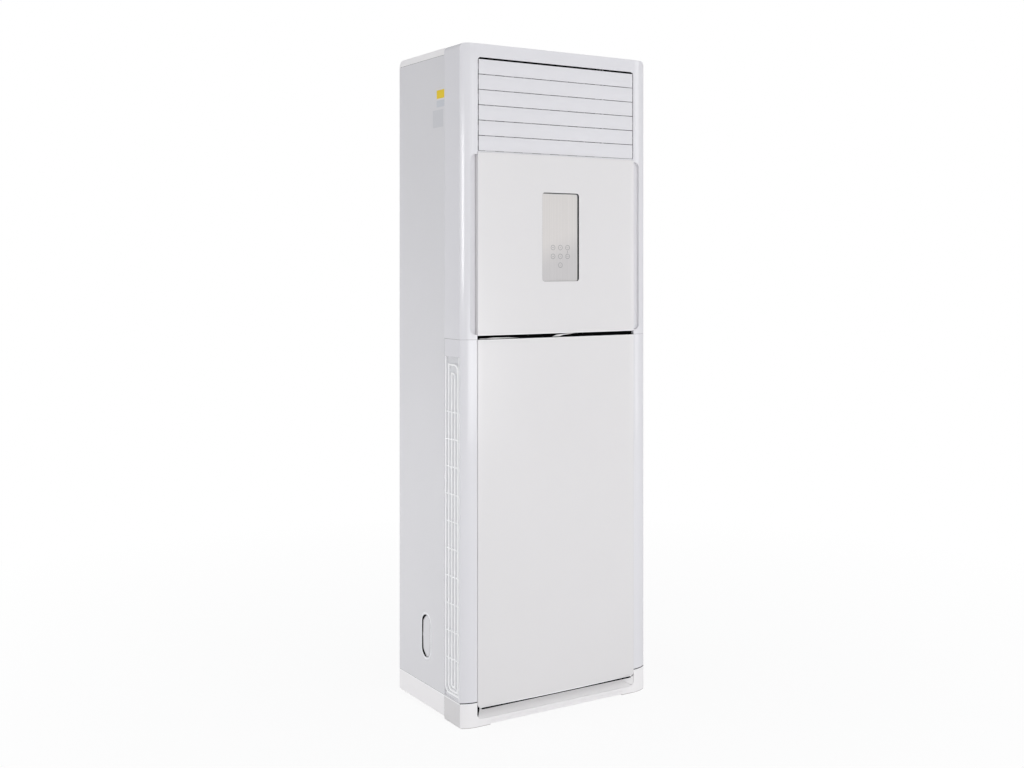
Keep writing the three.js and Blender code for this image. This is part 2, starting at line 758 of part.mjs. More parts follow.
// Flat bar with a row of holes; half its width is left beyond the end holes.
function linkOutline(u, v, stepU, stepV, count, half, holeRadius) {
  const endU = u + stepU * (count - 1);
  const endV = v + stepV * (count - 1);
  const low = Math.min(v, endV) - half;
  const outline = corneredOutline(u - half, endU + half, low, Math.max(v, endV) + half, [0, 0, 0, 0]);
  for (let i = 0; i < count; i += 1) {
    const hole = new THREE.Path();
    hole.absarc(u + i * stepU, v + i * stepV, holeRadius, 0, Math.PI * 2, true);
    outline.holes.push(hole);
  }
  return outline;
}

// Bar that ties the louvres together, drawn from the top louvre's pivot.
function louverLink() {
  const { y, z, radius } = louverLinkPin;
  const outline = linkOutline(y, z, 0, -louverPitch, louverCount, linkHalfWidth, radius + runningFit);
  return extrude(outline, 'x', louverLinkX, louverLinkX + linkThickness, 4);
}

function outletDuct() {
  const outer = ductHalf + wall;
  const shell = cut(
    box(-outer, outer, ductFrontY, ductRearY, ductFloor - wall, ductRoof + wall),
    box(-ductHalf, ductHalf, ductFrontY - wall, ductRearY + wall, ductFloor, ductRoof),
  );
  const rebateBack = rebateY + wall + seat;
  const clearance = box(
    -outer - wall, outer + wall, ductFrontY - wall, rebateBack, ductFloor - wall * 2, openingBottom + seat,
  );
  const bores = Array.from({ length: louverCount }, (_, i) =>
    rod('x', pinRadius + runningFit, -outer - 1, outer + 1, louverPivotY, firstPivotZ + i * louverPitch, 8),
  );
  const vaneBores = Array.from({ length: vaneCount }, (_, i) => {
    const x = firstVaneX + i * vanePitch;
    return rod('z', pinRadius + runningFit, ductFloor - wall * 2, ductRoof + wall * 2, x, vanePivotY, 8);
  });
  return cut(shell, clearance, ...bores, ...vaneBores);
}

// One vertical vane about its own pivot, standing on the duct's floor level.
function vane() {
  const low = vaneFloorGap;
  const high = ductRoof - ductFloor - vaneRoofGap;
  const half = vaneThickness / 2;
  const blade = extrude(
    roundedOutline(-vaneLead, vaneChord - vaneLead, low, high, half * 6),
    'x',
    -half,
    half,
    1,
  );
  const post = rod('z', pinRadius, -wall / 2, ductRoof - ductFloor + wall / 2, 0, 0, 8);
  const linkPin = rod('z', vaneLinkPinRadius, low - 8, low + 2, 0, vaneLinkArm, 6);
  const foot = rod('z', vaneLinkPinRadius + 2, low - 0.5, low + half * 8, 0, vaneLinkArm, 6);
  return fuse(blade, post, linkPin, foot);
}

// Bar that ties the vanes together, drawn from the first vane's pivot.
function vaneLink() {
  const hole = vaneLinkPinRadius + runningFit;
  const outline = linkOutline(0, vaneLinkArm, vanePitch, 0, vaneCount, linkHalfWidth + 1, hole);
  const top = vaneFloorGap - 0.5 - seat * 2;
  return extrude(outline, 'z', top - linkThickness, top, 3);
}

function louverMotor() {
  const from = ductHalf + wall + seat;
  const bodyY = louverPivotY + motorShaftOffset + 1;
  const body = rod('x', motorRadius, from, from + motorLength, bodyY, topPivotZ, 20);
  return fuse(
    body, rod('x', motorShaftRadius, ductHalf + wall / 2 + seat, from + 1, louverPivotY, topPivotZ, 12),
  );
}

function vaneMotor() {
  const top = ductFloor - wall - seat;
  const body = rod('z', motorRadius, top - motorLength, top, firstVaneX, vanePivotY + motorShaftOffset, 20);
  return fuse(
    body, rod('z', motorShaftRadius, top - 1, ductFloor - wall / 2 - seat, firstVaneX, vanePivotY, 12),
  );
}

// Finned block between end plates, with return bends on one end; tilted afterwards.
function evaporatorCoil() {
  const half = coilHalf;
  const deep = coilThickness / 2;
  const block = box(-half, half, -deep + 1, deep - 1, 1, coilHeight - 1);
  const plates = [-1, 1].map((side) => {
    const inner = side < 0 ? -half - coilPlate : half - 1;
    return box(inner, inner + coilPlate + 1, -deep, deep, 0, coilHeight);
  });
  const tabs = [-1, 1].map((side) => {
    const from = side < 0 ? -innerHalf + seat : half;
    const to = side < 0 ? -half : innerHalf - seat;
    return box(from, to, deep - coilPlate, deep, coilHeight - coilTabHeight, coilHeight);
  });
  const pitch = coilHeight / bendCount;
  const bends = Array.from({ length: bendCount }, (_, i) => {
    const geometry = new THREE.TorusGeometry(bendRadius, tubeRadius, 5, 10);
    geometry.rotateX(Math.PI / 2);
    geometry.translate(half, (i % 2 ? 0.1 : -0.1) * coilThickness, pitch * (i + 0.5));
    return toSolid(geometry);
  });
  return fuse(block, ...plates, ...tabs, ...bends);
}

function drainTray() {
  const half = innerHalf - seat;
  const front = coilFootY - trayDepth / 2;
  const back = coilFootY + trayDepth / 2;
  const outside = box(-half, half, front, back, trayBottom, trayBottom + trayHeight);
  const inner = half - trayWall;
  return cut(
    outside,
    box(-inner, inner, front + trayWall, back - trayWall, trayBottom + trayWall, trayBottom + trayHeight * 2),
  );
}

const scrollFrontY = frontY + scrollSetback;
const scrollRearY = scrollFrontY + scrollDepth;

// Spiral that widens evenly from the tongue round to the outlet, then a straight throat upwards.
function scrollOutline(grow, top) {
  const steps = 24;
  const sweep = Math.PI * 2 - tongueAngle;
  const points = Array.from({ length: steps + 1 }, (_, i) => {
    const angle = tongueAngle + (sweep * i) / steps;
    const radius = scrollStart + ((scrollEnd - scrollStart) * i) / steps + grow;
    return [radius * Math.cos(angle), blowerCentreZ + radius * Math.sin(angle)];
  });
  const tongueX = scrollStart * Math.cos(tongueAngle) - grow;
  return polygon([...points, [scrollEnd + grow, top], [tongueX, top]]);
}

// Spiral wall and front of the blower, open behind.
function scrollHousing() {
  const back = scrollRearY - wall - seat;
  const outside = extrude(scrollOutline(wall, scrollTop), 'y', scrollFrontY, back);
  const inside = extrude(scrollOutline(0, scrollTop + wall), 'y', scrollFrontY + wall, back + wall);
  const eye = rod(
    'y', inletRadius + inletLip / 2, scrollFrontY - 1, scrollFrontY + wall + 1, 0, blowerCentreZ, inletSides,
  );
  return cut(outside, inside, eye);
}

// Plate across the cabinet that closes the spiral and carries the motor.
function blowerDeck() {
  const half = innerHalf - seat;
  const plate = box(-half, half, scrollRearY - wall, scrollRearY, baseHeight, scrollTop);
  return cut(plate, rod('y', shaftRadius * 3, scrollRearY - wall * 2, scrollRearY + 1, 0, blowerCentreZ, 24));
}

// Bellmouth: a flared ring turned about the blower's axis.
function inletRing() {
  const lip = inletLip;
  const profile = [
    [0, inletThroat],
    [0, lip * 0.6],
    [lip * 0.2, lip * 0.15],
    [lip * 0.65, -lip * 0.3],
    [lip, -lip * 0.45],
    [lip, -seat],
    [lip / 2 - seat, -seat],
    [wall, wall * 3],
    [wall - seat, inletThroat],
    [0, inletThroat],
  ].map(([out, along]) => new THREE.Vector2(inletRadius + out, along));
  return toSolid(new THREE.LatheGeometry(profile, inletSides)).translate([0, scrollFrontY, blowerCentreZ]);
}

function wheelRing(from) {
  const to = from + wheelDisc;
  const hole = rod('y', wheelRadius - wheelBladeDepth, from - 1, to + 1, 0, 0, wheelSides);
  return cut(rod('y', wheelRadius, from, to, 0, 0, wheelSides), hole);
}

const wheelHalf = wheelWidth / 2;
const discFront = wheelHalf - wheelDisc;

// Blades between two rings, about the wheel's axis, which lies along Y.
function wheelCage() {
  const rear = discFront - seat;
  const inner = wheelRadius - wheelBladeDepth + 1;
  const outer = wheelRadius - 3;
  const lean = wheelBladeDepth * wheelBladeLean;
  const edge = wheelBladeThickness / 2;
  const outline = polygon([[inner, -edge], [outer, lean - edge], [outer, lean + edge], [inner, edge]]);
  const blades = Array.from({ length: wheelBladeCount }, (_, i) =>
    extrude(outline, 'y', -wheelHalf + 1, rear - 1).rotate([0, (360 * i) / wheelBladeCount, 0]),
  );
  return fuse(wheelRing(-wheelHalf), wheelRing(rear - wheelDisc), ...blades);
}

// Disc and hub that drive the cage.
function wheelHub() {
  const disc = rod('y', wheelRadius, discFront, wheelHalf, 0, 0, wheelSides);
  const hub = rod('y', hubRadius, wheelHalf - hubLength, wheelHalf - 1, 0, 0, 20);
  return cut(fuse(disc, hub), rod('y', shaftRadius + runningFit, -wheelHalf, wheelHalf + 1, 0, 0, 16));
}

const bracketY = scrollRearY + seat;
const motorY = bracketY + bracketThickness + seat;
const wheelY = scrollRearY - wall * 3 - wheelHalf;

function motorBracket() {
  const half = bracketWidth / 2;
  const tall = bracketHeight / 2;
  const plate = box(
    -half, half, bracketY, bracketY + bracketThickness, blowerCentreZ - tall, blowerCentreZ + tall,
  );
  const hole = rod('y', shaftRadius * 2, bracketY - 1, bracketY + wall + 1, 0, blowerCentreZ, 24);
  return cut(plate, hole);
}

function fanMotor() {
  const end = motorY + motorBodyLength;
  const body = rod('y', motorBodyRadius, motorY, end, 0, blowerCentreZ, 32);
  const cap = rod('y', motorBodyRadius * 0.6, end - 1, end + motorCapLength, 0, blowerCentreZ, 24);
  const shaft = rod('y', shaftRadius, wheelY + wheelHalf - hubLength, motorY + 1, 0, blowerCentreZ, 16);
  return fuse(body, cap, shaft);
}

const boxFront = rebateY + wall + seat;
const boxLow = middlePanelBottom + boxRise;

function electricBox() {
  const outside = box(-boxHalfWidth, boxHalfWidth, boxFront, boxFront + boxDepth, boxLow, boxLow + boxHeight);
  const half = boxHalfWidth - boxWall;
  const hollow = box(
    -half, half, boxFront - 1, boxFront + boxDepth - boxWall, boxLow + boxWall, boxLow + boxHeight - boxWall,
  );
  return cut(outside, hollow);
}

function electricBoxCover() {
  const half = boxHalfWidth - boxWall - seat;
  const inset = boxWall + seat;
  return box(-half, half, boxFront + 1, boxFront + 1 + boxWall, boxLow + inset, boxLow + boxHeight - inset);
}

// Pipe from the coil's end plate out and down to its flare nut.
function refrigerantPipe({ radius, sideGap, y, jointRise, nutRadius }) {
  const x = sideGap - halfWidth;
  const startX = -coilHalf - coilPlate - seat;
  const jointY = coilFootY + jointRise * Math.sin(coilTilt);
  const jointZ = trayBottom + trayWall + jointRise;
  const route = new THREE.CatmullRomCurve3([
    new THREE.Vector3(startX, jointY, jointZ),
    new THREE.Vector3(startX - pipeLead, jointY, jointZ),
    new THREE.Vector3(x + pipeLead / 2, (jointY + y) / 2, jointZ - pipeLead),
    new THREE.Vector3(x, y, jointZ - pipeDrop),
    new THREE.Vector3(x, y, pipeBottom + pipeDrop),
    new THREE.Vector3(x, y, pipeBottom + nutLength),
  ]);
  const section = new THREE.Shape();
  section.absarc(0, 0, radius, 0, Math.PI * 2);
  const settings = { steps: 16, curveSegments: 4, extrudePath: route, bevelEnabled: false };
  const tube = toSolid(new THREE.ExtrudeGeometry(section, settings));
  return fuse(tube, rod('z', nutRadius, pipeBottom, pipeBottom + nutLength + 2, x, y, 6));
}

place('base_tray', baseTray(), 'whiteBase');
place('front_skirt', frontSkirt(), 'whiteBase');
place('side_panel_left', sidePanel(-1), 'paintedSheet');
place('side_panel_right', sidePanel(1), 'paintedSheet');
place('pipe_knockout_cover', knockoutCover(), 'paintedSheet');
place('back_panel', backPanel(), 'paintedSheet');
place('service_panel', servicePanel(), 'paintedSheet');
place('top_cover', topCover(), 'whiteBase');
place('lower_front_frame', lowerFrontFrame(), 'whiteGloss');
place('upper_front_frame', upperFrontFrame(), 'whiteGloss');
place('intake_grille_left', intakeGrille(-1), 'whiteBase');
place('intake_grille_right', intakeGrille(1), 'whiteBase');
place('air_filter_left', airFilter(-1), 'filterMesh');
place('air_filter_right', airFilter(1), 'filterMesh');
place('middle_panel', middlePanel(), 'whitePanel');
place('lower_panel', lowerPanel(), 'whitePanel');
place('split_trim', splitTrim(), 'blackPlastic');
place('display_plate', displayPlate(), 'brushedPlate');
place('display_board', displayBoard(), 'greenBoard');
place('outlet_duct', outletDuct(), 'blackPlastic');
const louverSolid = louver();
for (let i = 0; i < louverCount; i += 1) {
  place(`louver_${i + 1}`, louverSolid, 'whiteGloss', [0, louverPivotY, topPivotZ - i * louverPitch]);
}
place('louver_link', louverLink(), 'blackPlastic', [0, louverPivotY, topPivotZ]);
place('louver_motor', louverMotor(), 'greyPlastic');
const vaneSolid = vane();
for (let i = 0; i < vaneCount; i += 1) {
  place(`vane_${i + 1}`, vaneSolid, 'blackPlastic', [firstVaneX + i * vanePitch, vanePivotY, ductFloor]);
}
place('vane_link', vaneLink(), 'blackPlastic', [firstVaneX, vanePivotY, ductFloor]);
place('vane_motor', vaneMotor(), 'greyPlastic');
const coilFootZ = trayBottom + trayWall + seat + (coilThickness / 2) * Math.sin(coilTilt);
place('evaporator_coil', evaporatorCoil(), 'aluminiumFin', [0, coilFootY, coilFootZ], [-coilTilt, 0, 0]);
place('drain_tray', drainTray(), 'blackPlastic');
place('scroll_housing', scrollHousing(), 'greyPlastic');
place('blower_deck', blowerDeck(), 'zincSteel');
place('inlet_ring', inletRing(), 'greyPlastic');
place('wheel_cage', wheelCage(), 'blackPlastic', [0, wheelY, blowerCentreZ]);
place('wheel_hub', wheelHub(), 'blackPlastic', [0, wheelY, blowerCentreZ]);
place('motor_bracket', motorBracket(), 'zincSteel');
place('fan_motor', fanMotor(), 'zincSteel');
place('electric_box', electricBox(), 'zincSteel');
place('electric_box_cover', electricBoxCover(), 'zincSteel');
place('gas_pipe', refrigerantPipe(gasPipe), 'copper');
place('liquid_pipe', refrigerantPipe(liquidPipe), 'copper');

export default model;
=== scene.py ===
import json
import math
import bmesh
import bpy
import numpy as np
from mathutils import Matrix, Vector


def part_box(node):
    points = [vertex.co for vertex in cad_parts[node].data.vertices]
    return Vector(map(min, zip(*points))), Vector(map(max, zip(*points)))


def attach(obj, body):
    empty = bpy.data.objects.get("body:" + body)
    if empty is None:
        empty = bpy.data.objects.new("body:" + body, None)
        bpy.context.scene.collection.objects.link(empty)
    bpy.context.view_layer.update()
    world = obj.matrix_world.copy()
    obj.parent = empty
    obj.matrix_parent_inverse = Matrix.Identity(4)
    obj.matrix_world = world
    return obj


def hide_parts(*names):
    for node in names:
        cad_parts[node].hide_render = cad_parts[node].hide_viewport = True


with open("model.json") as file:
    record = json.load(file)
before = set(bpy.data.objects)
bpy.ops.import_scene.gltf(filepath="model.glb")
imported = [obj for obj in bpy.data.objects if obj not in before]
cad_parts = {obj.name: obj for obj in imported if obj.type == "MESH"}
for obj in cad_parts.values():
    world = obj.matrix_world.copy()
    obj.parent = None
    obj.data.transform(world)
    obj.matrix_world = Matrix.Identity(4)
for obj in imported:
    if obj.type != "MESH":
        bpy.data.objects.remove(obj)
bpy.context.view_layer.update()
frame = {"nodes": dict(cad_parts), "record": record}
nodes = frame["nodes"]
record = frame["record"]
# lengths in the dictionaries below are in mm, unless a note says metres
mm = 0.001
bodyOfNode = {node: body for body, members in record["behaviour"]["bodies"].items() for node in members}
slotOfNode = {row["node"]: row["material_slot"] for row in record["subparts"]}
print("frame loaded:", len(nodes), "nodes")


# camera, lamps and floor

# fitted to the photo's edges: place in metres, turn in degrees, lens in mm, shift as a share of the width
camera = {"at": (-1.93027, -3.04588, 1.21465), "turn": -31.83, "lens": 44.36, "shiftY": -0.1156}


def makeCamera():
    data = bpy.data.cameras.new("camera")
    data.lens = camera["lens"]
    data.sensor_width = 36
    data.shift_y = camera["shiftY"]
    data.clip_end = 60
    cam = bpy.data.objects.new("camera", data)
    cam.location = camera["at"]
    cam.rotation_euler = (math.radians(90), 0, math.radians(camera["turn"]))
    bpy.context.collection.objects.link(cam)
    bpy.context.scene.camera = cam


makeCamera()
bpy.context.scene.view_settings.view_transform = "Standard"


def linear(hexColour):
    # sRGB hex to linear light, with alpha 1
    parts = [int(hexColour[i:i + 2], 16) / 255 for i in (0, 2, 4)]
    return tuple(c / 12.92 if c <= 0.04045 else ((c + 0.055) / 1.055) ** 2.4 for c in parts) + (1,)


def addNode(tree, kind, settings=None, **inputs):
    # one shader node; i0, i1 ... name an input by number, other words by title; a value may be a socket
    node = tree.nodes.new(kind)
    for key, value in (settings or {}).items():
        setattr(node, key, value)
    for key, value in inputs.items():
        numbered = key[0] == "i" and key[1:].isdigit()
        socket = node.inputs[int(key[1:])] if numbered else node.inputs[key.replace("_", " ")]
        if isinstance(value, bpy.types.NodeSocket):
            tree.links.new(value, socket)
        else:
            socket.default_value = value
    return node


def calculate(tree, operation, *values):
    # one step of arithmetic on numbers or sockets
    inputs = {f"i{place}": value for place, value in enumerate(values)}
    return addNode(tree, "ShaderNodeMath", {"operation": operation}, **inputs).outputs[0]


def spread(tree, value, fromLow, fromHigh, toLow, toHigh, smooth=False):
    # a value carried from one range to another and held at both ends
    settings = {"interpolation_type": "SMOOTHSTEP"} if smooth else None
    inputs = dict(i0=value, i1=fromLow, i2=fromHigh, i3=toLow, i4=toHigh)
    return addNode(tree, "ShaderNodeMapRange", settings, **inputs).outputs[0]


def mixColours(tree, share, first, second, blend="MIX"):
    settings = {"data_type": "RGBA", "blend_type": blend}
    return addNode(tree, "ShaderNodeMix", settings, i0=share, i6=first, i7=second).outputs[2]


def scaled(colour, factor):
    return tuple(min(1, part * factor) for part in colour[:3]) + (1,)


def axes(tree, vector):
    # x, y and z of a vector socket
    return addNode(tree, "ShaderNodeSeparateXYZ", i0=vector).outputs


def newMaterial(name):
    material = bpy.data.materials.new(name)
    material.use_nodes = True
    tree = material.node_tree
    tree.nodes.clear()
    return material, tree


def finishMaterial(tree, shader):
    output = addNode(tree, "ShaderNodeOutputMaterial")
    tree.links.new(shader, output.inputs["Surface"])


def objectCoordinates(tree, scale=(1, 1, 1)):
    coordinates = addNode(tree, "ShaderNodeTexCoord").outputs["Object"]
    return addNode(tree, "ShaderNodeMapping", Vector=coordinates, Scale=scale).outputs["Vector"]


def noise(tree, place, patchMm, detail, roughness=0.5):
    # cloudy pattern whose patches are about as wide as the given length
    inputs = dict(Vector=place, Scale=1 / (patchMm * mm), Detail=detail, Roughness=roughness)
    return addNode(tree, "ShaderNodeTexNoise", **inputs).outputs["Fac"]


def bumped(tree, height, depthMm, strength=1.0):
    return addNode(tree, "ShaderNodeBump", Strength=strength, Distance=depthMm * mm, Height=height).outputs[0]


# half the floor's width and the reach in which it turns white, in metres, and its whiteness near the unit
studio = {"half": 12, "nearWhite": 0.5, "allWhite": 2.6, "whiteNear": 0.9}


def makeFloor():
    half = studio["half"]
    mesh = bpy.data.meshes.new("studio_floor")
    corners = [(-half, -half, 0), (half, -half, 0), (half, half, 0), (-half, half, 0)]
    mesh.from_pydata(corners, [], [(0, 1, 2, 3)])
    floor = bpy.data.objects.new("studio_floor", mesh)
    bpy.context.collection.objects.link(floor)
    material, tree = newMaterial("paleStudioFloor")
    lit = addNode(tree, "ShaderNodeBsdfDiffuse", Color=linear("f4f4f4"))
    white = addNode(tree, "ShaderNodeEmission", Color=(1, 1, 1, 1), Strength=1.0)
    seen = addNode(tree, "ShaderNodeLightPath").outputs["Is Camera Ray"]
    # the shadow shows near the unit, and the floor turns plain white further out
    place = addNode(tree, "ShaderNodeTexCoord").outputs["Object"]
    reach = addNode(tree, "ShaderNodeVectorMath", {"operation": "LENGTH"}, i0=place).outputs["Value"]
    away = spread(tree, reach, studio["nearWhite"], studio["allWhite"], studio["whiteNear"], 1.0)
    share = calculate(tree, "MULTIPLY", seen, away)
    both = addNode(tree, "ShaderNodeMixShader", i0=share, i1=lit.outputs[0], i2=white.outputs[0])
    finishMaterial(tree, both.outputs[0])
    mesh.materials.append(material)


# brightness of the room towards +x, -x, +y, -y, up and down
room = {"right": 0.5, "left": 0.61, "back": 0.44, "front": 0.72, "up": 0.8, "down": 0.35}


def makeWorld():
    world = bpy.data.worlds.new("softRoom")
    bpy.context.scene.world = world
    world.use_nodes = True
    tree = world.node_tree
    tree.nodes.clear()
    seen = addNode(tree, "ShaderNodeLightPath").outputs["Is Camera Ray"]
    # the squares of a direction's three parts add up to one, so they share the six walls out smoothly
    direction = axes(tree, addNode(tree, "ShaderNodeTexCoord").outputs["Generated"])
    total = None
    for axis, (ahead, behind) in enumerate((("right", "left"), ("back", "front"), ("up", "down"))):
        sign = calculate(tree, "GREATER_THAN", direction[axis], 0.0)
        wall = spread(tree, sign, 0, 1, room[behind], room[ahead])
        square = calculate(tree, "MULTIPLY", direction[axis], direction[axis])
        share = calculate(tree, "MULTIPLY", square, wall)
        total = share if total is None else calculate(tree, "ADD", total, share)
    glow = addNode(tree, "ShaderNodeBackground", Color=linear("f6f7fa"), Strength=total)
    white = addNode(tree, "ShaderNodeBackground", Color=(1, 1, 1, 1), Strength=1.0)
    both = addNode(tree, "ShaderNodeMixShader", i0=seen, i1=glow.outputs[0], i2=white.outputs[0])
    output = addNode(tree, "ShaderNodeOutputWorld")
    tree.links.new(both.outputs[0], output.inputs["Surface"])


# soft boxes: places and sizes in metres
lamps = {
    "frontSheet": {"at": (0.6, -4.4, 1.3), "aim": (0, 0, 0.9), "size": (2.6, 2.0), "watts": 17},
    "frontLow": {"at": (0.4, -4.0, 0.6), "aim": (0, 0, 0.4), "size": (2.6, 0.8), "watts": 17},
    "rightFront": {"at": (3.4, -2.4, 1.4), "aim": (0.2, -0.2, 1.0), "size": (1.2, 2.4), "watts": 14},
    "nearStrip": {"at": (-1.93, -3.82, 1.56), "aim": (-0.3, -0.17, 1.4), "size": (0.42, 0.95), "watts": 11.5},
    "leftLow": {"at": (-2.6, 1.4, 0.3), "aim": (-0.3, 0.1, 0.15), "size": (1.0, 0.5), "watts": 19},
}


def makeLamps():
    for name, lamp in lamps.items():
        data = bpy.data.lights.new(name, "AREA")
        data.shape = "RECTANGLE"
        data.size, data.size_y = lamp["size"]
        data.energy = lamp["watts"]
        light = bpy.data.objects.new(name, data)
        light.location = lamp["at"]
        direction = Vector(lamp["aim"]) - Vector(lamp["at"])
        light.rotation_euler = direction.to_track_quat("-Z", "Y").to_euler()
        bpy.context.collection.objects.link(light)


makeFloor()
makeWorld()
makeLamps()
print("camera, lamps and floor made")


# materials, each named for the real one

def mouldedPlastic(name, colour, roughness, grainMm, grainDepth, shade=0.048, specular=0.5, paintedBands=()):
    # injection-moulded plastic: an even skin with a slight waviness that only shows in the gloss, with
    # optional bands of painted light
    material, tree = newMaterial(name)
    place = objectCoordinates(tree)
    cloudMm = 160
    cloud = noise(tree, place, cloudMm, 2.0)
    base = linear(colour)
    tone = mixColours(tree, cloud, base, scaled(base, 1 - shade))
    for axis, low, high, paintedColour in paintedBands:
        # painted light in a narrow band of another tone, such as the painted highlight along a rolled edge
        # and the painted shade along a foot
        middle, half = (low + high) / 2 * mm, (high - low) / 2 * mm
        near = calculate(tree, "COMPARE", axes(tree, place)[axis], middle, half)
        tone = mixColours(tree, near, tone, linear(paintedColour))
    shader = addNode(
        tree, "ShaderNodeBsdfPrincipled",
        Base_Color=tone, Roughness=spread(tree, cloud, 0.3, 0.7, roughness * 0.9, roughness * 1.12), IOR=1.5,
        Normal=bumped(tree, noise(tree, place, grainMm, 3.0), grainDepth), Specular_IOR_Level=specular,
    )
    finishMaterial(tree, shader.outputs[0])
    return material


def powderCoat(name, colour, roughness):
    # powder-coated steel sheet: fine orange peel breaks the reflections up
    driftMm, peelMm, peelDepth = 300, 2.2, 0.035
    material, tree = newMaterial(name)
    place = objectCoordinates(tree)
    base = linear(colour)
    shader = addNode(
        tree, "ShaderNodeBsdfPrincipled",
        Base_Color=mixColours(tree, noise(tree, place, driftMm, 3.0), base, scaled(base, 0.95)),
        Roughness=roughness, IOR=1.5, Normal=bumped(tree, noise(tree, place, peelMm, 2.0, 0.6), peelDepth),
    )
    finishMaterial(tree, shader.outputs[0])
    return material


def rectangleMask(tree, place, low, high, soft=0.3 * mm):
    # 1 inside a y-z rectangle, with a soft edge a fraction of a millimetre wide
    parts = axes(tree, place)
    mask = None
    for axis, start, end in zip((1, 2), low, high):
        middle, half = (start + end) / 2, (end - start) / 2
        away = calculate(tree, "ABSOLUTE", calculate(tree, "SUBTRACT", parts[axis], middle))
        inside = spread(tree, away, half - soft, half + soft, 1.0, 0.0)
        mask = inside if mask is None else calculate(tree, "MULTIPLY", mask, inside)
    return mask


def slotDistance(tree, place, middleY, middleZ, halfStraight, radius):
    # distance from an upright round-ended slot's outline; its core is a line, so z is clamped to it first
    parts = axes(tree, place)
    y = calculate(tree, "SUBTRACT", parts[1], middleY)
    up = calculate(tree, "ABSOLUTE", calculate(tree, "SUBTRACT", parts[2], middleZ))
    beyond = calculate(tree, "MAXIMUM", calculate(tree, "SUBTRACT", up, halfStraight), 0.0)
    flat = addNode(tree, "ShaderNodeCombineXYZ", i0=y, i1=beyond).outputs[0]
    length = addNode(tree, "ShaderNodeVectorMath", {"operation": "LENGTH"}, i0=flat).outputs["Value"]
    return calculate(tree, "SUBTRACT", length, radius)


# pressed rim round the knock-out: where it starts, is full, starts to fall and ends, its height, and the
# lighter tone painted on it as a highlight
pressing = {"start": 0.5, "full": 3.0, "fall": 5.0, "end": 9.0, "height": 1.4, "tone": "f4f4f6"}


def leftSheet(name, colour, roughness, films, slot):
    # the same powder coat with a pressed rim round the knock-out, painted lighter as a highlight, and blank
    # adhesive films near the top
    material = powderCoat(name, colour, roughness)
    tree = material.node_tree
    shader = next(node for node in tree.nodes if node.type == "BSDF_PRINCIPLED")
    place = objectCoordinates(tree)
    painted = shader.inputs["Base Color"].links[0].from_socket
    for film in films:
        mask = rectangleMask(tree, place, film["low"], film["high"])
        painted = mixColours(tree, mask, painted, linear(film["colour"]))
    away = slotDistance(tree, place, *slot)
    rise = spread(tree, away, pressing["start"] * mm, pressing["full"] * mm, 0.0, 1.0, smooth=True)
    fall = spread(tree, away, pressing["fall"] * mm, pressing["end"] * mm, 1.0, 0.0, smooth=True)
    rim = calculate(tree, "MULTIPLY", rise, fall)
    # painted highlight: the rim is coloured lighter than the sheet
    painted = mixColours(tree, rim, painted, linear(pressing["tone"]))
    peel = shader.inputs["Normal"].links[0].from_socket
    pressed = addNode(
        tree, "ShaderNodeBump", Strength=1.0, Distance=pressing["height"] * mm, Height=rim, Normal=peel,
    )
    tree.links.new(pressed.outputs[0], shader.inputs["Normal"])
    tree.links.new(painted, shader.inputs["Base Color"])
    return material


def brushedMetal(name, colour, roughness, metallic, lineMm, lengthMm, contrast, paintedShade=None):
    # sheet drawn over an abrasive belt: long upright hairlines, light and dark, run from edge to edge
    material, tree = newMaterial(name)
    across, along = 1 / (lineMm * mm), 1 / (lengthMm * mm)
    place = objectCoordinates(tree, scale=(across, across, along))
    hairs = addNode(tree, "ShaderNodeTexNoise", Vector=place, Scale=1.0, Detail=4.0, Roughness=0.65)
    hair = hairs.outputs["Fac"]
    base = linear(colour)
    tone = mixColours(tree, hair, scaled(base, 1 + contrast), scaled(base, 1 - contrast))
    if paintedShade:
        # painted shade: the sheet darkens below a slanting line, z plus a share of x
        parts = axes(tree, objectCoordinates(tree))
        slant = calculate(tree, "MULTIPLY_ADD", parts[0], paintedShade["slant"], parts[2])
        share = spread(tree, slant, paintedShade["low"] * mm, paintedShade["high"] * mm, 1.0, 0.0, smooth=True)
        tone = mixColours(tree, share, tone, linear(paintedShade["colour"]), blend="MULTIPLY")
    shader = addNode(
        tree, "ShaderNodeBsdfPrincipled",
        Base_Color=tone, Metallic=metallic, Roughness=roughness, Normal=bumped(tree, hair, 0.03, 0.5),
    )
    finishMaterial(tree, shader.outputs[0])
    return material


def galvanised(name, colour):
    # hot-dip galvanised steel: crystal spangle patches, each a slightly different grey
    material, tree = newMaterial(name)
    spangleMm = 14
    spangle = addNode(
        tree, "ShaderNodeTexVoronoi", Vector=objectCoordinates(tree), Scale=1 / (spangleMm * mm),
    )
    base = linear(colour)
    tone = mixColours(tree, spangle.outputs["Color"], base, scaled(base, 0.78))
    shader = addNode(tree, "ShaderNodeBsdfPrincipled", Base_Color=tone, Metallic=0.9, Roughness=0.42)
    finishMaterial(tree, shader.outputs[0])
    return material


# at scale 1 the wave pattern repeats this often over one unit
wavesPerUnit = 3.18


def bandScale(pitchMm):
    return 1 / (pitchMm * mm) / wavesPerUnit


def finStack(name, colour, pitchMm):
    # aluminium fins stacked on tube: bright edges with close dark lines between them, painted shade for the
    # gaps between fins
    material, tree = newMaterial(name)
    paintedBands = addNode(
        tree, "ShaderNodeTexWave", {"wave_type": "BANDS", "bands_direction": "X"},
        Vector=objectCoordinates(tree), Scale=bandScale(pitchMm), Distortion=0.0,
    ).outputs["Fac"]
    base = linear(colour)
    shader = addNode(
        tree, "ShaderNodeBsdfPrincipled",
        Base_Color=mixColours(tree, paintedBands, scaled(base, 0.25), base), Metallic=0.85, Roughness=0.4,
        Normal=bumped(tree, paintedBands, 0.4),
    )
    finishMaterial(tree, shader.outputs[0])
    return material


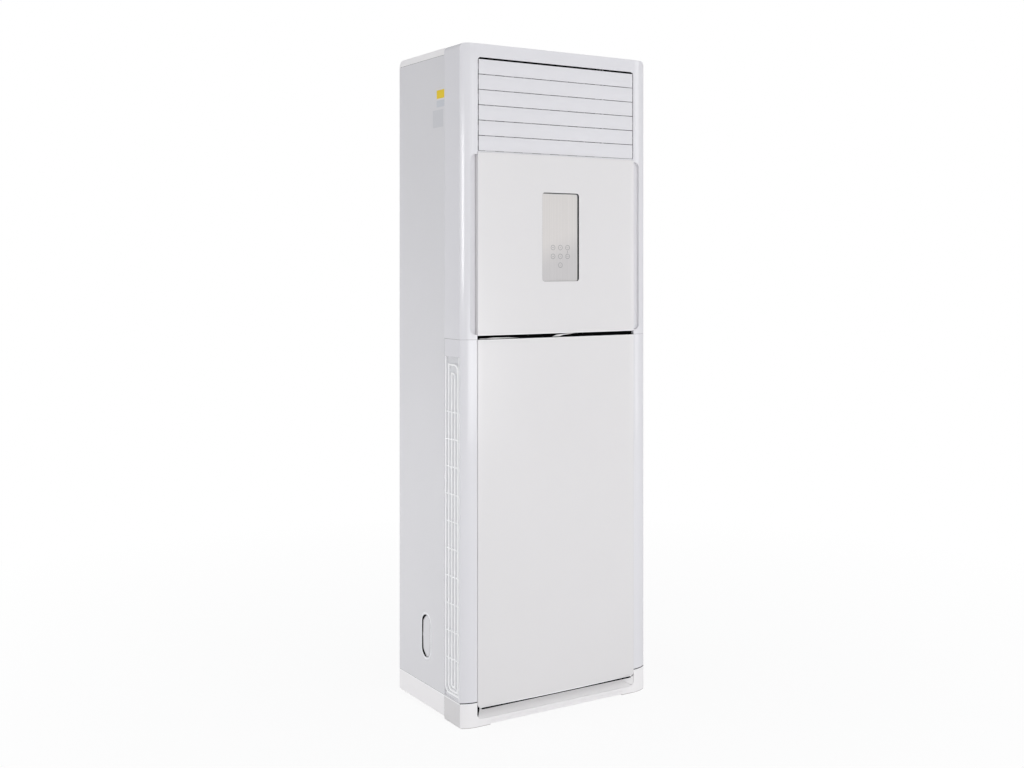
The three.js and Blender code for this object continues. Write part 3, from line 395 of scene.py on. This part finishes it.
def drawnCopper(name, colour):
    # drawn copper tube, dulled in patches by handling
    material, tree = newMaterial(name)
    tarnish = noise(tree, objectCoordinates(tree), 30, 3.0)
    base = linear(colour)
    shader = addNode(
        tree, "ShaderNodeBsdfPrincipled",
        Base_Color=mixColours(tree, tarnish, base, scaled(base, 0.6)), Metallic=1.0,
        Roughness=spread(tree, tarnish, 0.3, 0.7, 0.22, 0.42),
    )
    finishMaterial(tree, shader.outputs[0])
    return material


def wovenMesh(name, colour, pitchMm):
    # nylon filter cloth: a fine square weave of pale threads with slightly darker holes
    material, tree = newMaterial(name)
    place = objectCoordinates(tree)
    warp, weft = [
        addNode(tree, "ShaderNodeTexWave", {"bands_direction": axis}, Vector=place, Scale=bandScale(pitchMm))
        for axis in ("Y", "Z")
    ]
    thread = calculate(tree, "MAXIMUM", warp.outputs["Fac"], weft.outputs["Fac"])
    base = linear(colour)
    shader = addNode(
        tree, "ShaderNodeBsdfPrincipled",
        Base_Color=mixColours(tree, thread, scaled(base, 0.8), base), Roughness=0.75, IOR=1.5,
        Normal=bumped(tree, thread, 0.15),
    )
    finishMaterial(tree, shader.outputs[0])
    return material


# bands of painted light in another tone: axis, from, to and colour
# painted highlights along the rolled edges: the lower panel's foot and head, and the middle panel's foot
panelPaintedHighlights = [(2, 49.0, 51.8, "fcfcfc"), (2, 1017.2, 1019.4, "fcfcfc"), (2, 1029.8, 1031.8, "fcfcfc")]
# painted highlight along the base's top edge, and painted shadow along its foot
basePaintedLight = [(2, 62.9, 65.0, "fefefe"), (2, -0.5, 1.5, "b9b4b2")]
# painted shade on the skirt's left face
skirtFlankPaintedShade = (0, -303.5, -302.2, "dcdada")
satin = {"colour": "f6f4f4", "roughness": 0.36, "grainMm": 1.2, "grainDepth": 0.012, "shade": 0.024}
# painted shade on the display plate: the slant's share of x, the z below which it is full and above which it
# is gone, and its colour
platePaintedShade = {"slant": -0.35, "low": 1215, "high": 1300, "colour": "edeef1"}

glossAbs = mouldedPlastic("glossAbs", "e5e4e7", 0.13, 9, 0.006, shade=0.02)
panelLacquerAndHighlights = mouldedPlastic("panelLacquerAndHighlights", "e5e3e3", 0.22, 9, 0.015, shade=0.02, paintedBands=panelPaintedHighlights)
satinAbs = mouldedPlastic("satinAbs", **satin)
# copies of the satin finish that carry the painted highlight, painted shadow and painted shade bands
trayAbsPaintedLight = mouldedPlastic("satinTrayAbsPaintedLight", **satin, paintedBands=basePaintedLight)
skirtAbsPaintedLight = mouldedPlastic("satinSkirtAbsPaintedLight", **satin, paintedBands=[skirtFlankPaintedShade] + basePaintedLight)
grilleAbs = mouldedPlastic("grilleAbs", "fdfdfd", 0.3, 1.2, 0.01, shade=0.004)
sheetPaint = powderCoat("powderCoatedSheet", "e0dfe1", 0.42)
displaySheetAndShade = brushedMetal("brushedDisplaySheetPaintedShade", "d8d4d1", 0.36, 0.3, 2.4, 900, 0.1, platePaintedShade)
# painted highlight: a band at the plate's edge, brighter than its face
plateEdgeHighlight = brushedMetal("plateEdgePaintedHighlight", "efedea", 0.25, 0.3, 2, 200, 0.03)
blackAbs = mouldedPlastic("blackAbs", "17181a", 0.45, 1.0, 0.02)
greyPolypropylene = mouldedPlastic("greyPolypropylene", "7e8184", 0.5, 1.0, 0.02)
solderMask = mouldedPlastic("greenSolderMask", "1f5a3a", 0.35, 2.0, 0.02)
galvanisedSheet = galvanised("galvanisedSteel", "a7abad")
coilFins = finStack("aluminiumFinStack", "c2c5c7", 1.8)
copperTube = drawnCopper("drawnCopperTube", "b8734a")
filterCloth = wovenMesh("nylonFilterCloth", "e4e4e6", 1.4)
# screen-printed ink, a flat grey
keyInk = mouldedPlastic("greyKeyInk", "606266", 0.5, 1.0, 0.0)
# near-black with almost no gloss, painted shade: it takes the light of the gaps away and keeps them black
# from every side, on the dark trim and duct and on the pieces that stand for shadow
paintedShadeBlack = mouldedPlastic("paintedShadeBlack", "060607", 0.95, 1.0, 0.02, specular=0.04)
# blank films: low and high corner in y and z
films = [
    {"low": (-81 * mm, 1665 * mm), "high": (-38 * mm, 1688 * mm), "colour": "f0cf22"},
    {"low": (-81 * mm, 1642 * mm), "high": (-38 * mm, 1660 * mm), "colour": "cfd1d6"},
    {"low": (-75 * mm, 1588 * mm), "high": (-16 * mm, 1635 * mm), "colour": "d3d3d6"},
]
# the knock-out's slot: its middle, half its straight part and the radius of its ends
knockOut = {"y": 23.5, "z": 198.0, "straight": 34.5, "radius": 23.5}
slotCore = tuple(knockOut[key] * mm for key in ("y", "z", "straight", "radius"))
leftSheetPaintAndHighlight = leftSheet("powderCoatedLeftSheetAndHighlight", "e0dfe1", 0.42, films, slotCore)
print("materials made")

# finish of the solids by slot
nodeFinish = {
    "white_gloss_front": glossAbs, "white_panel": panelLacquerAndHighlights, "white_base": satinAbs,
    "painted_sheet": sheetPaint, "brushed_plate": displaySheetAndShade, "black_plastic": blackAbs,
    "grey_plastic": greyPolypropylene, "green_board": solderMask, "zinc_steel": galvanisedSheet,
    "aluminium_fin": coilFins, "copper_pipe": copperTube, "filter_mesh": filterCloth,
}
for name, piece in nodes.items():
    piece.data.materials.clear()
    piece.data.materials.append(nodeFinish[slotOfNode[name]])


# shared mesh makers

def addPiece(name, points, faces, material, body, standsFor=(), smoothAngle=35):
    mesh = bpy.data.meshes.new(name)
    mesh.from_pydata(points, [], faces)
    mesh.materials.append(material)
    mesh.polygons.foreach_set("use_smooth", [True] * len(mesh.polygons))
    mesh.set_sharp_from_angle(angle=math.radians(smoothAngle))
    piece = bpy.data.objects.new(name, mesh)
    bpy.context.collection.objects.link(piece)
    if standsFor:
        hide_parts(*standsFor)
    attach(piece, body)
    return piece


def ringFaces(rings, count, closed=False):
    # quads between neighbouring rings of points; closed joins the last ring to the first
    i, j = np.meshgrid(np.arange(rings if closed else rings - 1), np.arange(count), indexing="ij")
    nextI = (i + 1) % rings
    nextJ = (j + 1) % count
    quads = np.stack([i * count + j, i * count + nextJ, nextI * count + nextJ, nextI * count + j], axis=-1)
    return quads.reshape(-1, 4)


def faceOutwards(piece, weldDistance=0.0):
    # faces turned outwards, after points closer than the distance are made one
    work = bmesh.new()
    work.from_mesh(piece.data)
    if weldDistance:
        bmesh.ops.remove_doubles(work, verts=work.verts, dist=weldDistance)
    bmesh.ops.recalc_face_normals(work, faces=work.faces)
    work.to_mesh(piece.data)
    work.free()


# the frame's front corner in plan: half width, where the curve starts, its depth in the solids and here,
# and how close to the solids' face a point has to be to move with it
pillarCorner = {"half": 303.0, "inner": 257.3, "frontY": -178.0, "deep": 16.0, "arc": 14.0, "near": 0.35}
# points closer than the first are made one, and faces closer to flat than the second are joined
cleanUp = {"weld": 0.01, "flatDegrees": 0.6}


def pillarShift(x):
    # from the solids' quarter ellipse to a parabola that meets the side at a crease
    c = pillarCorner
    s = np.clip((np.abs(x) - c["inner"]) / (c["half"] - c["inner"]), 0, 1)
    ellipse = c["frontY"] + c["deep"] * (1 - np.sqrt(1 - s ** 2))
    return ellipse, c["frontY"] + c["arc"] * s ** 2 - ellipse


def creasePillars(mesh):
    # only the points on the curved face move
    points = np.empty(len(mesh.vertices) * 3)
    mesh.vertices.foreach_get("co", points)
    points = points.reshape(-1, 3)
    ellipse, shift = pillarShift(points[:, 0] / mm)
    onFace = np.abs(points[:, 1] / mm - ellipse) < pillarCorner["near"]
    points[onFace, 1] += shift[onFace] * mm
    mesh.vertices.foreach_set("co", points.ravel())


def softened(node, material, edge, segments=2, angle=30):
    # a node's own shape, its flat faces joined up and its edges rounded by the mould's or press's radius
    mesh = nodes[node].data.copy()
    mesh.name = node + "_skin"
    work = bmesh.new()
    work.from_mesh(mesh)
    bmesh.ops.remove_doubles(work, verts=work.verts, dist=cleanUp["weld"] * mm)
    flat = math.radians(cleanUp["flatDegrees"])
    bmesh.ops.dissolve_limit(work, angle_limit=flat, verts=work.verts, edges=work.edges)
    work.to_mesh(mesh)
    work.free()
    if node in ("upper_front_frame", "lower_front_frame", "front_skirt"):
        creasePillars(mesh)
    mesh.materials.clear()
    mesh.materials.append(material)
    mesh.polygons.foreach_set("use_smooth", [True] * len(mesh.polygons))
    mesh.set_sharp_from_angle(angle=math.radians(angle))
    piece = bpy.data.objects.new(node + "_skin", mesh)
    bpy.context.collection.objects.link(piece)
    bevel = piece.modifiers.new("edge", "BEVEL")
    bevel.width = edge * mm
    bevel.segments = segments
    bevel.limit_method = "ANGLE"
    bevel.angle_limit = math.radians(angle)
    bevel.harden_normals = True
    bevel.miter_outer = "MITER_ARC"
    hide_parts(node)
    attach(piece, bodyOfNode[node])
    return piece


def roundedLoop(x0, x1, z0, z1, footRadius, headRadius, cornerSteps, widthSteps, heightSteps):
    # once round a round-cornered rectangle, anticlockwise from its lower left
    def side(a, b, steps):
        t = np.arange(steps)[:, None] / steps
        return np.array(a) * (1 - t) + np.array(b) * t

    def corner(cx, cz, radius, start):
        angle = start + np.arange(cornerSteps) / cornerSteps * math.pi / 2
        return np.stack([cx + radius * np.cos(angle), cz + radius * np.sin(angle)], axis=1)

    f, h = footRadius, headRadius
    return np.concatenate([
        side((x0 + f, z0), (x1 - f, z0), widthSteps), corner(x1 - f, z0 + f, f, -math.pi / 2),
        side((x1, z0 + f), (x1, z1 - h), heightSteps), corner(x1 - h, z1 - h, h, 0),
        side((x1 - h, z1), (x0 + h, z1), widthSteps), corner(x0 + h, z1 - h, h, math.pi / 2),
        side((x0, z1 - h), (x0, z0 + f), heightSteps), corner(x0 + f, z0 + f, f, math.pi),
    ])


def ringAt(flat, y):
    # a flat loop's points at one depth, or at a depth of their own each
    return np.stack([flat[:, 0], np.broadcast_to(y, flat[:, 0].shape), flat[:, 1]], axis=1)


# front panels: crowned skins with rolled edges

panelShape = {
    "edgeProud": 1.5, "crownProud": 6.0, "wall": 3.0, "roll": 1.1, "half": 256.6, "frontY": -178.0,
    "footBack": -166.3, "returned": 4.0, "leastRadius": 0.3,
}
# rings across the rolled edge, the face, the window's roll and the inside
panelRings = {"edge": 6, "face": 15, "windowRoll": 5, "inside": 10}
# the opening as the photo shows it, a little to +x of the solid's
window = {"middle": 3.9, "half": 60.3, "low": 1171.8, "high": 1413.0, "radius": 8.0, "roll": 0.5}


def crownY(x, inset=0.0):
    # the face bows forward by a parabola across the panel's width
    s = panelShape
    share = 1 - np.clip(np.abs(x) / s["half"], 0, 1) ** 2
    return s["frontY"] - s["edgeProud"] - (s["crownProud"] - s["edgeProud"]) * share + inset


def frontPanel(node, footRadius, headRadius, opening=None):
    low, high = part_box(node)
    x0, z0, x1, z1 = low[0] / mm, low[2] / mm, high[0] / mm, high[2] / mm
    back = high[1] / mm if opening else panelShape["footBack"]
    s = panelShape
    steps = dict(cornerSteps=8, widthSteps=24, heightSteps=36)

    def outer(inset):
        f, h = (max(radius - inset, s["leastRadius"]) for radius in (footRadius, headRadius))
        return roundedLoop(x0 + inset, x1 - inset, z0 + inset, z1 - inset, f, h, **steps)

    def inner(grow):
        if opening:
            half = opening["half"] + grow
            r = opening["radius"] + grow
            x = opening["middle"]
            bottom, top = opening["low"] - grow, opening["high"] + grow
            return roundedLoop(x - half, x + half, bottom, top, r, r, **steps)
        middle = (x1 - x0) / 2
        return roundedLoop(0, 0, z0 + middle, z1 - middle, 0, 0, **steps)

    rings = []

    def ring(flat, y):
        rings.append(ringAt(flat, y))

    # outside of the returned edge, then a quarter round on to the face
    ring(outer(0), back)
    ring(outer(0), back - s["returned"])
    for angle in np.linspace(0, math.pi / 2, panelRings["edge"]):
        inset = s["roll"] * (1 - math.cos(angle))
        flat = outer(inset)
        ring(flat, crownY(flat[:, 0]) + s["roll"] * (1 - math.sin(angle)))
    edgeRoll = opening["roll"] if opening else 0
    near, far = outer(s["roll"]), inner(edgeRoll)
    for t in np.linspace(0, 1, panelRings["face"])[1:]:
        flat = near * (1 - t) + far * t
        ring(flat, crownY(flat[:, 0]))
    if opening:
        for angle in np.linspace(0, math.pi / 2, panelRings["windowRoll"])[1:]:
            flat = inner(edgeRoll * (1 - math.sin(angle)))
            ring(flat, crownY(flat[:, 0]) + edgeRoll * (1 - math.cos(angle)))
        flat = inner(0)
        ring(flat, crownY(flat[:, 0], s["wall"]))
    frontRings = len(rings)
    near, far = inner(0), outer(s["wall"])
    for t in np.linspace(0, 1, panelRings["inside"])[1 if opening else 0:]:
        flat = near * (1 - t) + far * t
        ring(flat, crownY(flat[:, 0], s["wall"]))
    ring(outer(s["wall"]), back)
    count = len(rings[0])
    faces = ringFaces(len(rings), count, closed=True)
    if not opening:
        # both skins close on a line of their own, with nothing between the two lines
        faces = np.delete(faces, np.arange((frontRings - 1) * count, frontRings * count), axis=0)
    points = np.concatenate(rings) * mm
    return points, faces


def makePanels():
    # node, corner radii at the foot and at the head, and the window
    for node, foot, head, opening in (("middle_panel", 3, 3, window), ("lower_panel", 12, 3, None)):
        points, faces = frontPanel(node, foot, head, opening)
        piece = addPiece(
            node + "_skin", points.tolist(), faces.tolist(), panelLacquerAndHighlights, bodyOfNode[node],
            (node,),
        )
        faceOutwards(piece, cleanUp["weld"] * mm)
        piece.data.polygons.foreach_set("use_smooth", [True] * len(piece.data.polygons))
        piece.data.set_sharp_from_angle(angle=math.radians(35))


makePanels()
print("front panels made")


# window liner and touch keys

# how far in front of the plate the ledge begins and ends, the wall's thickness and the weld
shadowLiner = {"ledge": (0.05, 0.25), "wall": 0.08, "weld": 0.001}


def windowPaintedLight():
    # dark liner on the window's wall as painted shade, with a ledge at the right and the top where it turns
    # on to the plate as painted shadow; and a light band at the plate's edge
    steps = dict(cornerSteps=8, widthSteps=4, heightSteps=8)
    w = window
    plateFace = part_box("display_plate")[0][1] / mm

    def loop(side, head, rest):
        # the ledge is wider towards +x and at the top than elsewhere
        r = max(w["radius"] - side, 1)
        x0, x1 = w["middle"] - w["half"] + rest, w["middle"] + w["half"] - side
        return roundedLoop(x0, x1, w["low"] + rest, w["high"] - head, r, r, **steps)

    def band(name, material, wall, ledge, front):
        # wall and ledge say how far inside the window they lie; front is the wall's depth behind the face
        near, far, inside = loop(*wall), loop(*ledge), loop(*(reach + shadowLiner["wall"] for reach in wall))
        edge = crownY(near[:, 0]) + front
        back, top = (plateFace - reach for reach in shadowLiner["ledge"])
        rings = [
            ringAt(near, edge), ringAt(near, back), ringAt(far, back),
            ringAt(far, top), ringAt(inside, top), ringAt(inside, edge),
        ]
        faces = ringFaces(len(rings), len(rings[0]), closed=True)
        points = (np.concatenate(rings) * mm).tolist()
        piece = addPiece(name, points, faces.tolist(), material, "root")
        faceOutwards(piece, shadowLiner["weld"] * mm)

    # the liner: painted shade on the wall and painted shadow on the plate's right and top edges
    band("window_shadow_liner", blackAbs, (0.02, 0.02, 0.02), (3.6, 2.6, 0.12), 0.35)
    # a light band round the plate's edge, a painted highlight
    band("plate_rim_highlight", plateEdgeHighlight, (3.7, 2.7, 0.2), (5.6, 4.2, 0.3), 3.2)


# the group stands to +x by "middle"; the rings are printed in two rows of three and one below
touchKeys = {
    "middle": 4.2, "outer": 13.7, "line": 0.85, "columns": 24.0, "rows": (1264.0, 1240.0), "single": 1216.0,
    "print": 0.05, "thick": 0.04, "dashAt": 1.9, "sideDash": (2.2, 0.9), "middleDash": (2.6, 0.8),
    "bar": (0.9, 6.5), "weld": 0.0001,
}


def touchRings():
    # printed circles: flat rings a hair above the plate, and a few plain dashes inside them
    k = touchKeys
    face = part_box("display_plate")[0][1] / mm - k["print"]
    under = face + k["thick"]
    angle = np.linspace(0, 2 * math.pi, 40, endpoint=False)
    centres = [(c * k["columns"], z) for z in k["rows"] for c in (-1, 0, 1)] + [(0, k["single"])]
    points, faces = [], []

    def addRing(cx, cz, outer, inner):
        start = sum(len(p) for p in points)
        for radius, y in ((outer, face), (inner, face), (inner, under), (outer, under)):
            x, z = cx + radius * np.cos(angle), cz + radius * np.sin(angle)
            points.append(np.stack([x, np.full(angle.shape, y), z], axis=1))
        faces.append(ringFaces(4, len(angle), closed=True) + start)

    def addDash(cx, cz, wide, tall):
        start = sum(len(p) for p in points)
        corners = np.array([[-1, -1], [1, -1], [1, 1], [-1, 1]]) * (wide / 2, tall / 2)
        for y in (face, under):
            points.append(np.stack([cx + corners[:, 0], np.full(4, y), cz + corners[:, 1]], axis=1))
        box = np.array([[0, 1, 2, 3], [7, 6, 5, 4], [0, 4, 5, 1], [1, 5, 6, 2], [2, 6, 7, 3], [3, 7, 4, 0]])
        faces.append(box + start)

    for cx, cz in centres:
        addRing(k["middle"] + cx, cz, k["outer"] / 2, k["outer"] / 2 - k["line"])
        if cx:
            addDash(k["middle"] + cx - k["dashAt"], cz, *k["sideDash"])
            addDash(k["middle"] + cx + k["dashAt"], cz, *k["sideDash"])
        else:
            addDash(k["middle"] + cx, cz, *k["middleDash"])
    addDash(k["middle"] + k["columns"], sum(k["rows"]) / 2, *k["bar"])
    allFaces = [face for shape in faces for face in shape.tolist()]
    piece = addPiece(
        "touch_key_prints", (np.concatenate(points) * mm).tolist(), allFaces, keyInk, "root",
        smoothAngle=20,
    )
    faceOutwards(piece, k["weld"] * mm)


windowPaintedLight()
touchRings()
print("display window made")


# moulded and pressed pieces that keep the solids' shape

# finish, edge radius in mm and segments across the rounding
softEdges = {
    "upper_front_frame": (glossAbs, 0.9, 3), "lower_front_frame": (glossAbs, 0.7, 3),
    "front_skirt": (skirtAbsPaintedLight, 0.9, 3), "base_tray": (trayAbsPaintedLight, 0.9, 3), "top_cover": (satinAbs, 0.8, 3),
    "side_panel_left": (leftSheetPaintAndHighlight, 0.35, 2), "side_panel_right": (sheetPaint, 0.35, 2),
    "back_panel": (sheetPaint, 0.3, 2), "service_panel": (sheetPaint, 0.3, 2),
    "split_trim": (paintedShadeBlack, 0.3, 1), "pipe_knockout_cover": (sheetPaint, 0.25, 2),
    "intake_grille_left": (grilleAbs, 0.6, 2), "intake_grille_right": (grilleAbs, 0.6, 2),
    "display_plate": (displaySheetAndShade, 0.2, 2), "outlet_duct": (paintedShadeBlack, 0.3, 1),
}
for node, (material, edge, segments) in softEdges.items():
    softened(node, material, edge, segments)
# number of blades, then the same three values
blades = {"louver": (6, glossAbs, 0.35, 2), "vane": (8, blackAbs, 0.25, 1)}
for name, (number, *finish) in blades.items():
    for i in range(number):
        softened(f"{name}_{i + 1}", *finish)
print("mouldings and sheets softened")


# seams, hooks, catches and the scoop's ends

def prism(outline, axis, start, end):
    # a flat outline pushed along one axis; the outline's two numbers are the other two axes in order
    outline = np.asarray(outline, dtype=float)
    count = len(outline)
    points = np.concatenate([np.insert(outline, axis, place, axis=1) for place in (start, end)])
    i = np.arange(count)
    sides = np.stack([i, (i + 1) % count, (i + 1) % count + count, i + count], axis=1).tolist()
    return points, sides + [i[::-1].tolist(), (i + count).tolist()]


def block(x0, x1, y0, y1, z0, z1):
    return prism([(x0, y0), (x1, y0), (x1, y1), (x0, y1)], 2, z0, z1)


def joined(name, shapes, material, body):
    points, faces, start = [], [], 0
    for shapePoints, shapeFaces in shapes:
        points.append(shapePoints)
        faces += [[index + start for index in face] for face in shapeFaces]
        start += len(shapePoints)
    piece = addPiece(name, (np.concatenate(points) * mm).tolist(), faces, material, body)
    faceOutwards(piece)
    return piece


def flankSpan(side, near, far):
    # x from low to high between two distances from the middle, on one side
    return sorted((side * near, side * far))


# seams round the frame's corner: height, half thickness, depth under the skin, and whether the flank has it
frameSeams = [
    {"z": 66.0, "half": 1.3, "inset": -0.15, "flank": False},
    {"z": 1020.0, "half": 0.4, "inset": 0.22, "flank": True},
]
# straight seams on a flank: y from, y to, z from, z to
flankSeams = {
    "sheetToBase": (-80.8, 182.5, 65.6, 66.4), "sheetToCover": (-80.8, 180.0, 1778.6, 1779.4),
    "stripToSheet": (-81.2, -80.4, 66.0, 1779.0), "skirtToBase": (-81.4, -80.4, 9.5, 65.6),
}
# straight seams on the back: half width, z from, z to
backSeams = {"panelToBase": (301.5, 65.7, 66.3), "panelToService": (281.0, 255.7, 256.3)}
seamDepth = {
    "corner": 2.2, "flank": (302.75, 301.0), "back": (181.5, 183.7), "least": 0.08, "rearEdge": -81.0,
}


def pillarPath(side, inset, steps=14):
    # plan of the frame's corner from the strip's rear edge round to the panels
    x = np.linspace(pillarCorner["half"], pillarCorner["inner"], steps)
    ellipse, shift = pillarShift(x)
    sideInset = max(inset, seamDepth["least"])
    face = np.stack([side * (x - sideInset * np.linspace(1, 0, steps)), ellipse + shift + inset], axis=1)
    return np.concatenate([[[side * (pillarCorner["half"] - sideInset), seamDepth["rearEdge"]]], face])


def makeSeams():
    # dark beads that draw the shadow in each seam
    shapes = []
    for side in (-1, 1):
        for row in frameSeams:
            start = 0 if row["flank"] else 1
            outer, inner = (pillarPath(side, inset)[start:] for inset in (row["inset"], seamDepth["corner"]))
            ring = np.concatenate([outer, inner[::-1]])
            shapes.append(prism(ring, 2, row["z"] - row["half"], row["z"] + row["half"]))
        x0, x1 = flankSpan(side, *seamDepth["flank"])
        shapes += [block(x0, x1, *span) for span in flankSeams.values()]
    y0, y1 = seamDepth["back"]
    shapes += [block(-half, half, y0, y1, z0, z1) for half, z0, z1 in backSeams.values()]
    joined("seam_shadows", shapes, blackAbs, "root")


# places and sizes of the two pins and their four lugs
hooks = {
    "x": 200.0, "lugAt": 8.0, "lugHalf": 4.0, "front": -179.5, "back": -169.5,
    "pinY": -172.0, "pinZ": 60.0, "pinRadius": 2.5, "pinHalf": 12.0,
}


def makeHooks():
    # two lugs and a round pin near each end of the lower panel's foot
    h = hooks
    angle = np.linspace(0, 2 * math.pi, 16, endpoint=False)
    z0, z1 = h["pinZ"] - h["pinRadius"], h["pinZ"] + h["pinRadius"]
    shapes = []
    for middle in (-h["x"], h["x"]):
        for lug in (middle - h["lugAt"], middle + h["lugAt"]):
            shapes.append(block(lug - h["lugHalf"], lug + h["lugHalf"], h["front"], h["back"], z0, z1))
        pin = np.stack([np.cos(angle), np.sin(angle)], axis=1) * h["pinRadius"] + (h["pinY"], h["pinZ"])
        shapes.append(prism(pin, 0, middle - h["pinHalf"], middle + h["pinHalf"]))
    joined("lower_panel_hooks", shapes, satinAbs, bodyOfNode["lower_panel"])


# outline in y and z, and half width
panelShadowBead = {"outline": [(-183.2, 49.6), (-183.0, 46.4), (-177.5, 44.4), (-171.0, 49.6)], "half": 243.0}
headShadowBead = {"half": 254.5, "y": (-176.8, -174.0), "z": (1765.0, 1767.0)}


def makeShadowBeads():
    # dark beads as painted shadow: one under the lower panel's foot, and one over the top louvre
    foot = prism(panelShadowBead["outline"], 0, -panelShadowBead["half"], panelShadowBead["half"])
    joined("lower_panel_shadow_bead", [foot], paintedShadeBlack, bodyOfNode["lower_panel"])
    head = block(-headShadowBead["half"], headShadowBead["half"], *headShadowBead["y"], *headShadowBead["z"])
    joined("head_shadow_bead", [head], paintedShadeBlack, "root")


# depth of the tongues, and their outlines in x and z
catches = {
    "y": (-171.6, -170.6),
    "left": [(-248, 1020.2), (-246, 1021.8), (-226, 1021.4), (-205, 1023.4), (-160, 1022.6), (-123, 1020.4)],
    "middle": [
        (-17, 1020.6), (-2, 1025.2), (22, 1027.4), (58, 1028.6), (44, 1026.4), (18, 1024.2), (8, 1020.6),
    ],
}


def makeCatches():
    # pale tongues of the panel's catches, seen end-on in the dark slot
    shapes = [prism(catches[name], 1, *catches["y"]) for name in ("left", "middle")]
    joined("slot_catches", shapes, satinAbs, "root")


# the facet's corners, then outlines in x and z and the two depths they lie at
scoopEnds = {
    "facet": [(208, -159, 46.5), (257.2, -176.5, 47.5), (255.5, -176.7, 20.8), (257.2, -158.5, 46.5)],
    "wedge": [(-257.2, 62.0), (-250.4, 62.0), (-250.4, 45.0), (-255.0, 24.0), (-257.2, 28.0)],
    "behind": [(-257.2, 43.0), (-247.5, 43.0), (-247.5, 64.0), (-257.2, 64.0)],
    "turn": [(251.0, 48.9), (253.4, 54.6), (255.4, 54.6), (252.6, 46.8), (250.4, 46.8)],
    "gap": [(253.4, 54.6), (255.4, 54.6), (255.4, 65.0), (253.4, 65.0)],
    "frontY": (-177.2, -176.4), "backY": (-161.6, -160.8),
}


def makeScoopEnds():
    # the scoop's right end runs out in a slanting facet; at both ends the gap beside the panel's foot is
    # drawn dark as painted shadow
    facet = (np.array(scoopEnds["facet"], dtype=float), [[0, 1, 2], [0, 3, 1], [1, 3, 2], [0, 2, 3]])
    joined("scoop_end", [facet], satinAbs, "root")
    rows = (("wedge", "frontY"), ("behind", "backY"), ("turn", "frontY"), ("gap", "frontY"))
    shapes = [prism(scoopEnds[name], 1, *scoopEnds[depth]) for name, depth in rows]
    joined("scoop_shadow_wedge", shapes, paintedShadeBlack, "root")


# for the rear and the front edge: its side, the gap's width at mid height and what it gains towards the ends
knockOutGap = {"rear": (1, 1.9, 4.2), "front": (-1, 0.7, 0.0), "clear": 0.05, "x": (-302.7, -301.0)}


def makeKnockOutShadow():
    # dark gap all round the knock-out, fuller at both ends of its rear edge
    k = knockOut
    angle = np.linspace(-math.pi / 2, math.pi / 2, 17)

    def arc(radius, side):
        z = k["z"] + np.sign(np.sin(angle)) * k["straight"] + radius * np.sin(angle)
        return np.stack([k["y"] + side * radius * np.cos(angle), z], axis=1)

    shapes = []
    for side, thin, full in (knockOutGap["rear"], knockOutGap["front"]):
        outer = arc(k["radius"] - knockOutGap["clear"], side)
        ends = full * np.clip(np.sin(2 * np.abs(angle)), 0, 1)
        inner = arc(k["radius"] - thin - ends, side)
        shapes.append(prism(np.concatenate([outer, inner[::-1]]), 0, *knockOutGap["x"]))
    joined("knock_out_shadow", shapes, paintedShadeBlack, "root")


# cloth, sill and ridge: distances from the middle of the unit between which each lies, on either side
intake = {
    "y": (-162.9, -80.1), "z": (69.9, 973.1), "cloth": (298.2, 297.6), "sill": (300.8, 298.0),
    "sillTop": 77.0, "ridge": (302.2, 300.4), "ridgeHalf": 1.3, "firstRib": 172.0, "ribPitch": 72.7,
    "ribs": 10,
}


def makeFilterFaces():
    # pale cloth close behind the grille's bars keeps the slots shallow; ridges brighten the cross ribs
    n = intake
    for side, name in ((-1, "left"), (1, "right")):
        cloth = block(*flankSpan(side, *n["cloth"]), *n["y"], *n["z"])
        sill = block(*flankSpan(side, *n["sill"]), *n["y"], n["z"][0], n["sillTop"])
        joined("filter_face_" + name, [cloth, sill], filterCloth, "root")
        ridges = [
            block(*flankSpan(side, *n["ridge"]), *n["y"], z - n["ridgeHalf"], z + n["ridgeHalf"])
            for z in n["firstRib"] + n["ribPitch"] * np.arange(n["ribs"])
        ]
        joined("grille_ridges_" + name, ridges, grilleAbs, "root")


makeFilterFaces()
makeSeams()
makeHooks()
makeShadowBeads()
makeCatches()
makeScoopEnds()
makeKnockOutShadow()
print("seams, hooks, catches and scoop ends made")
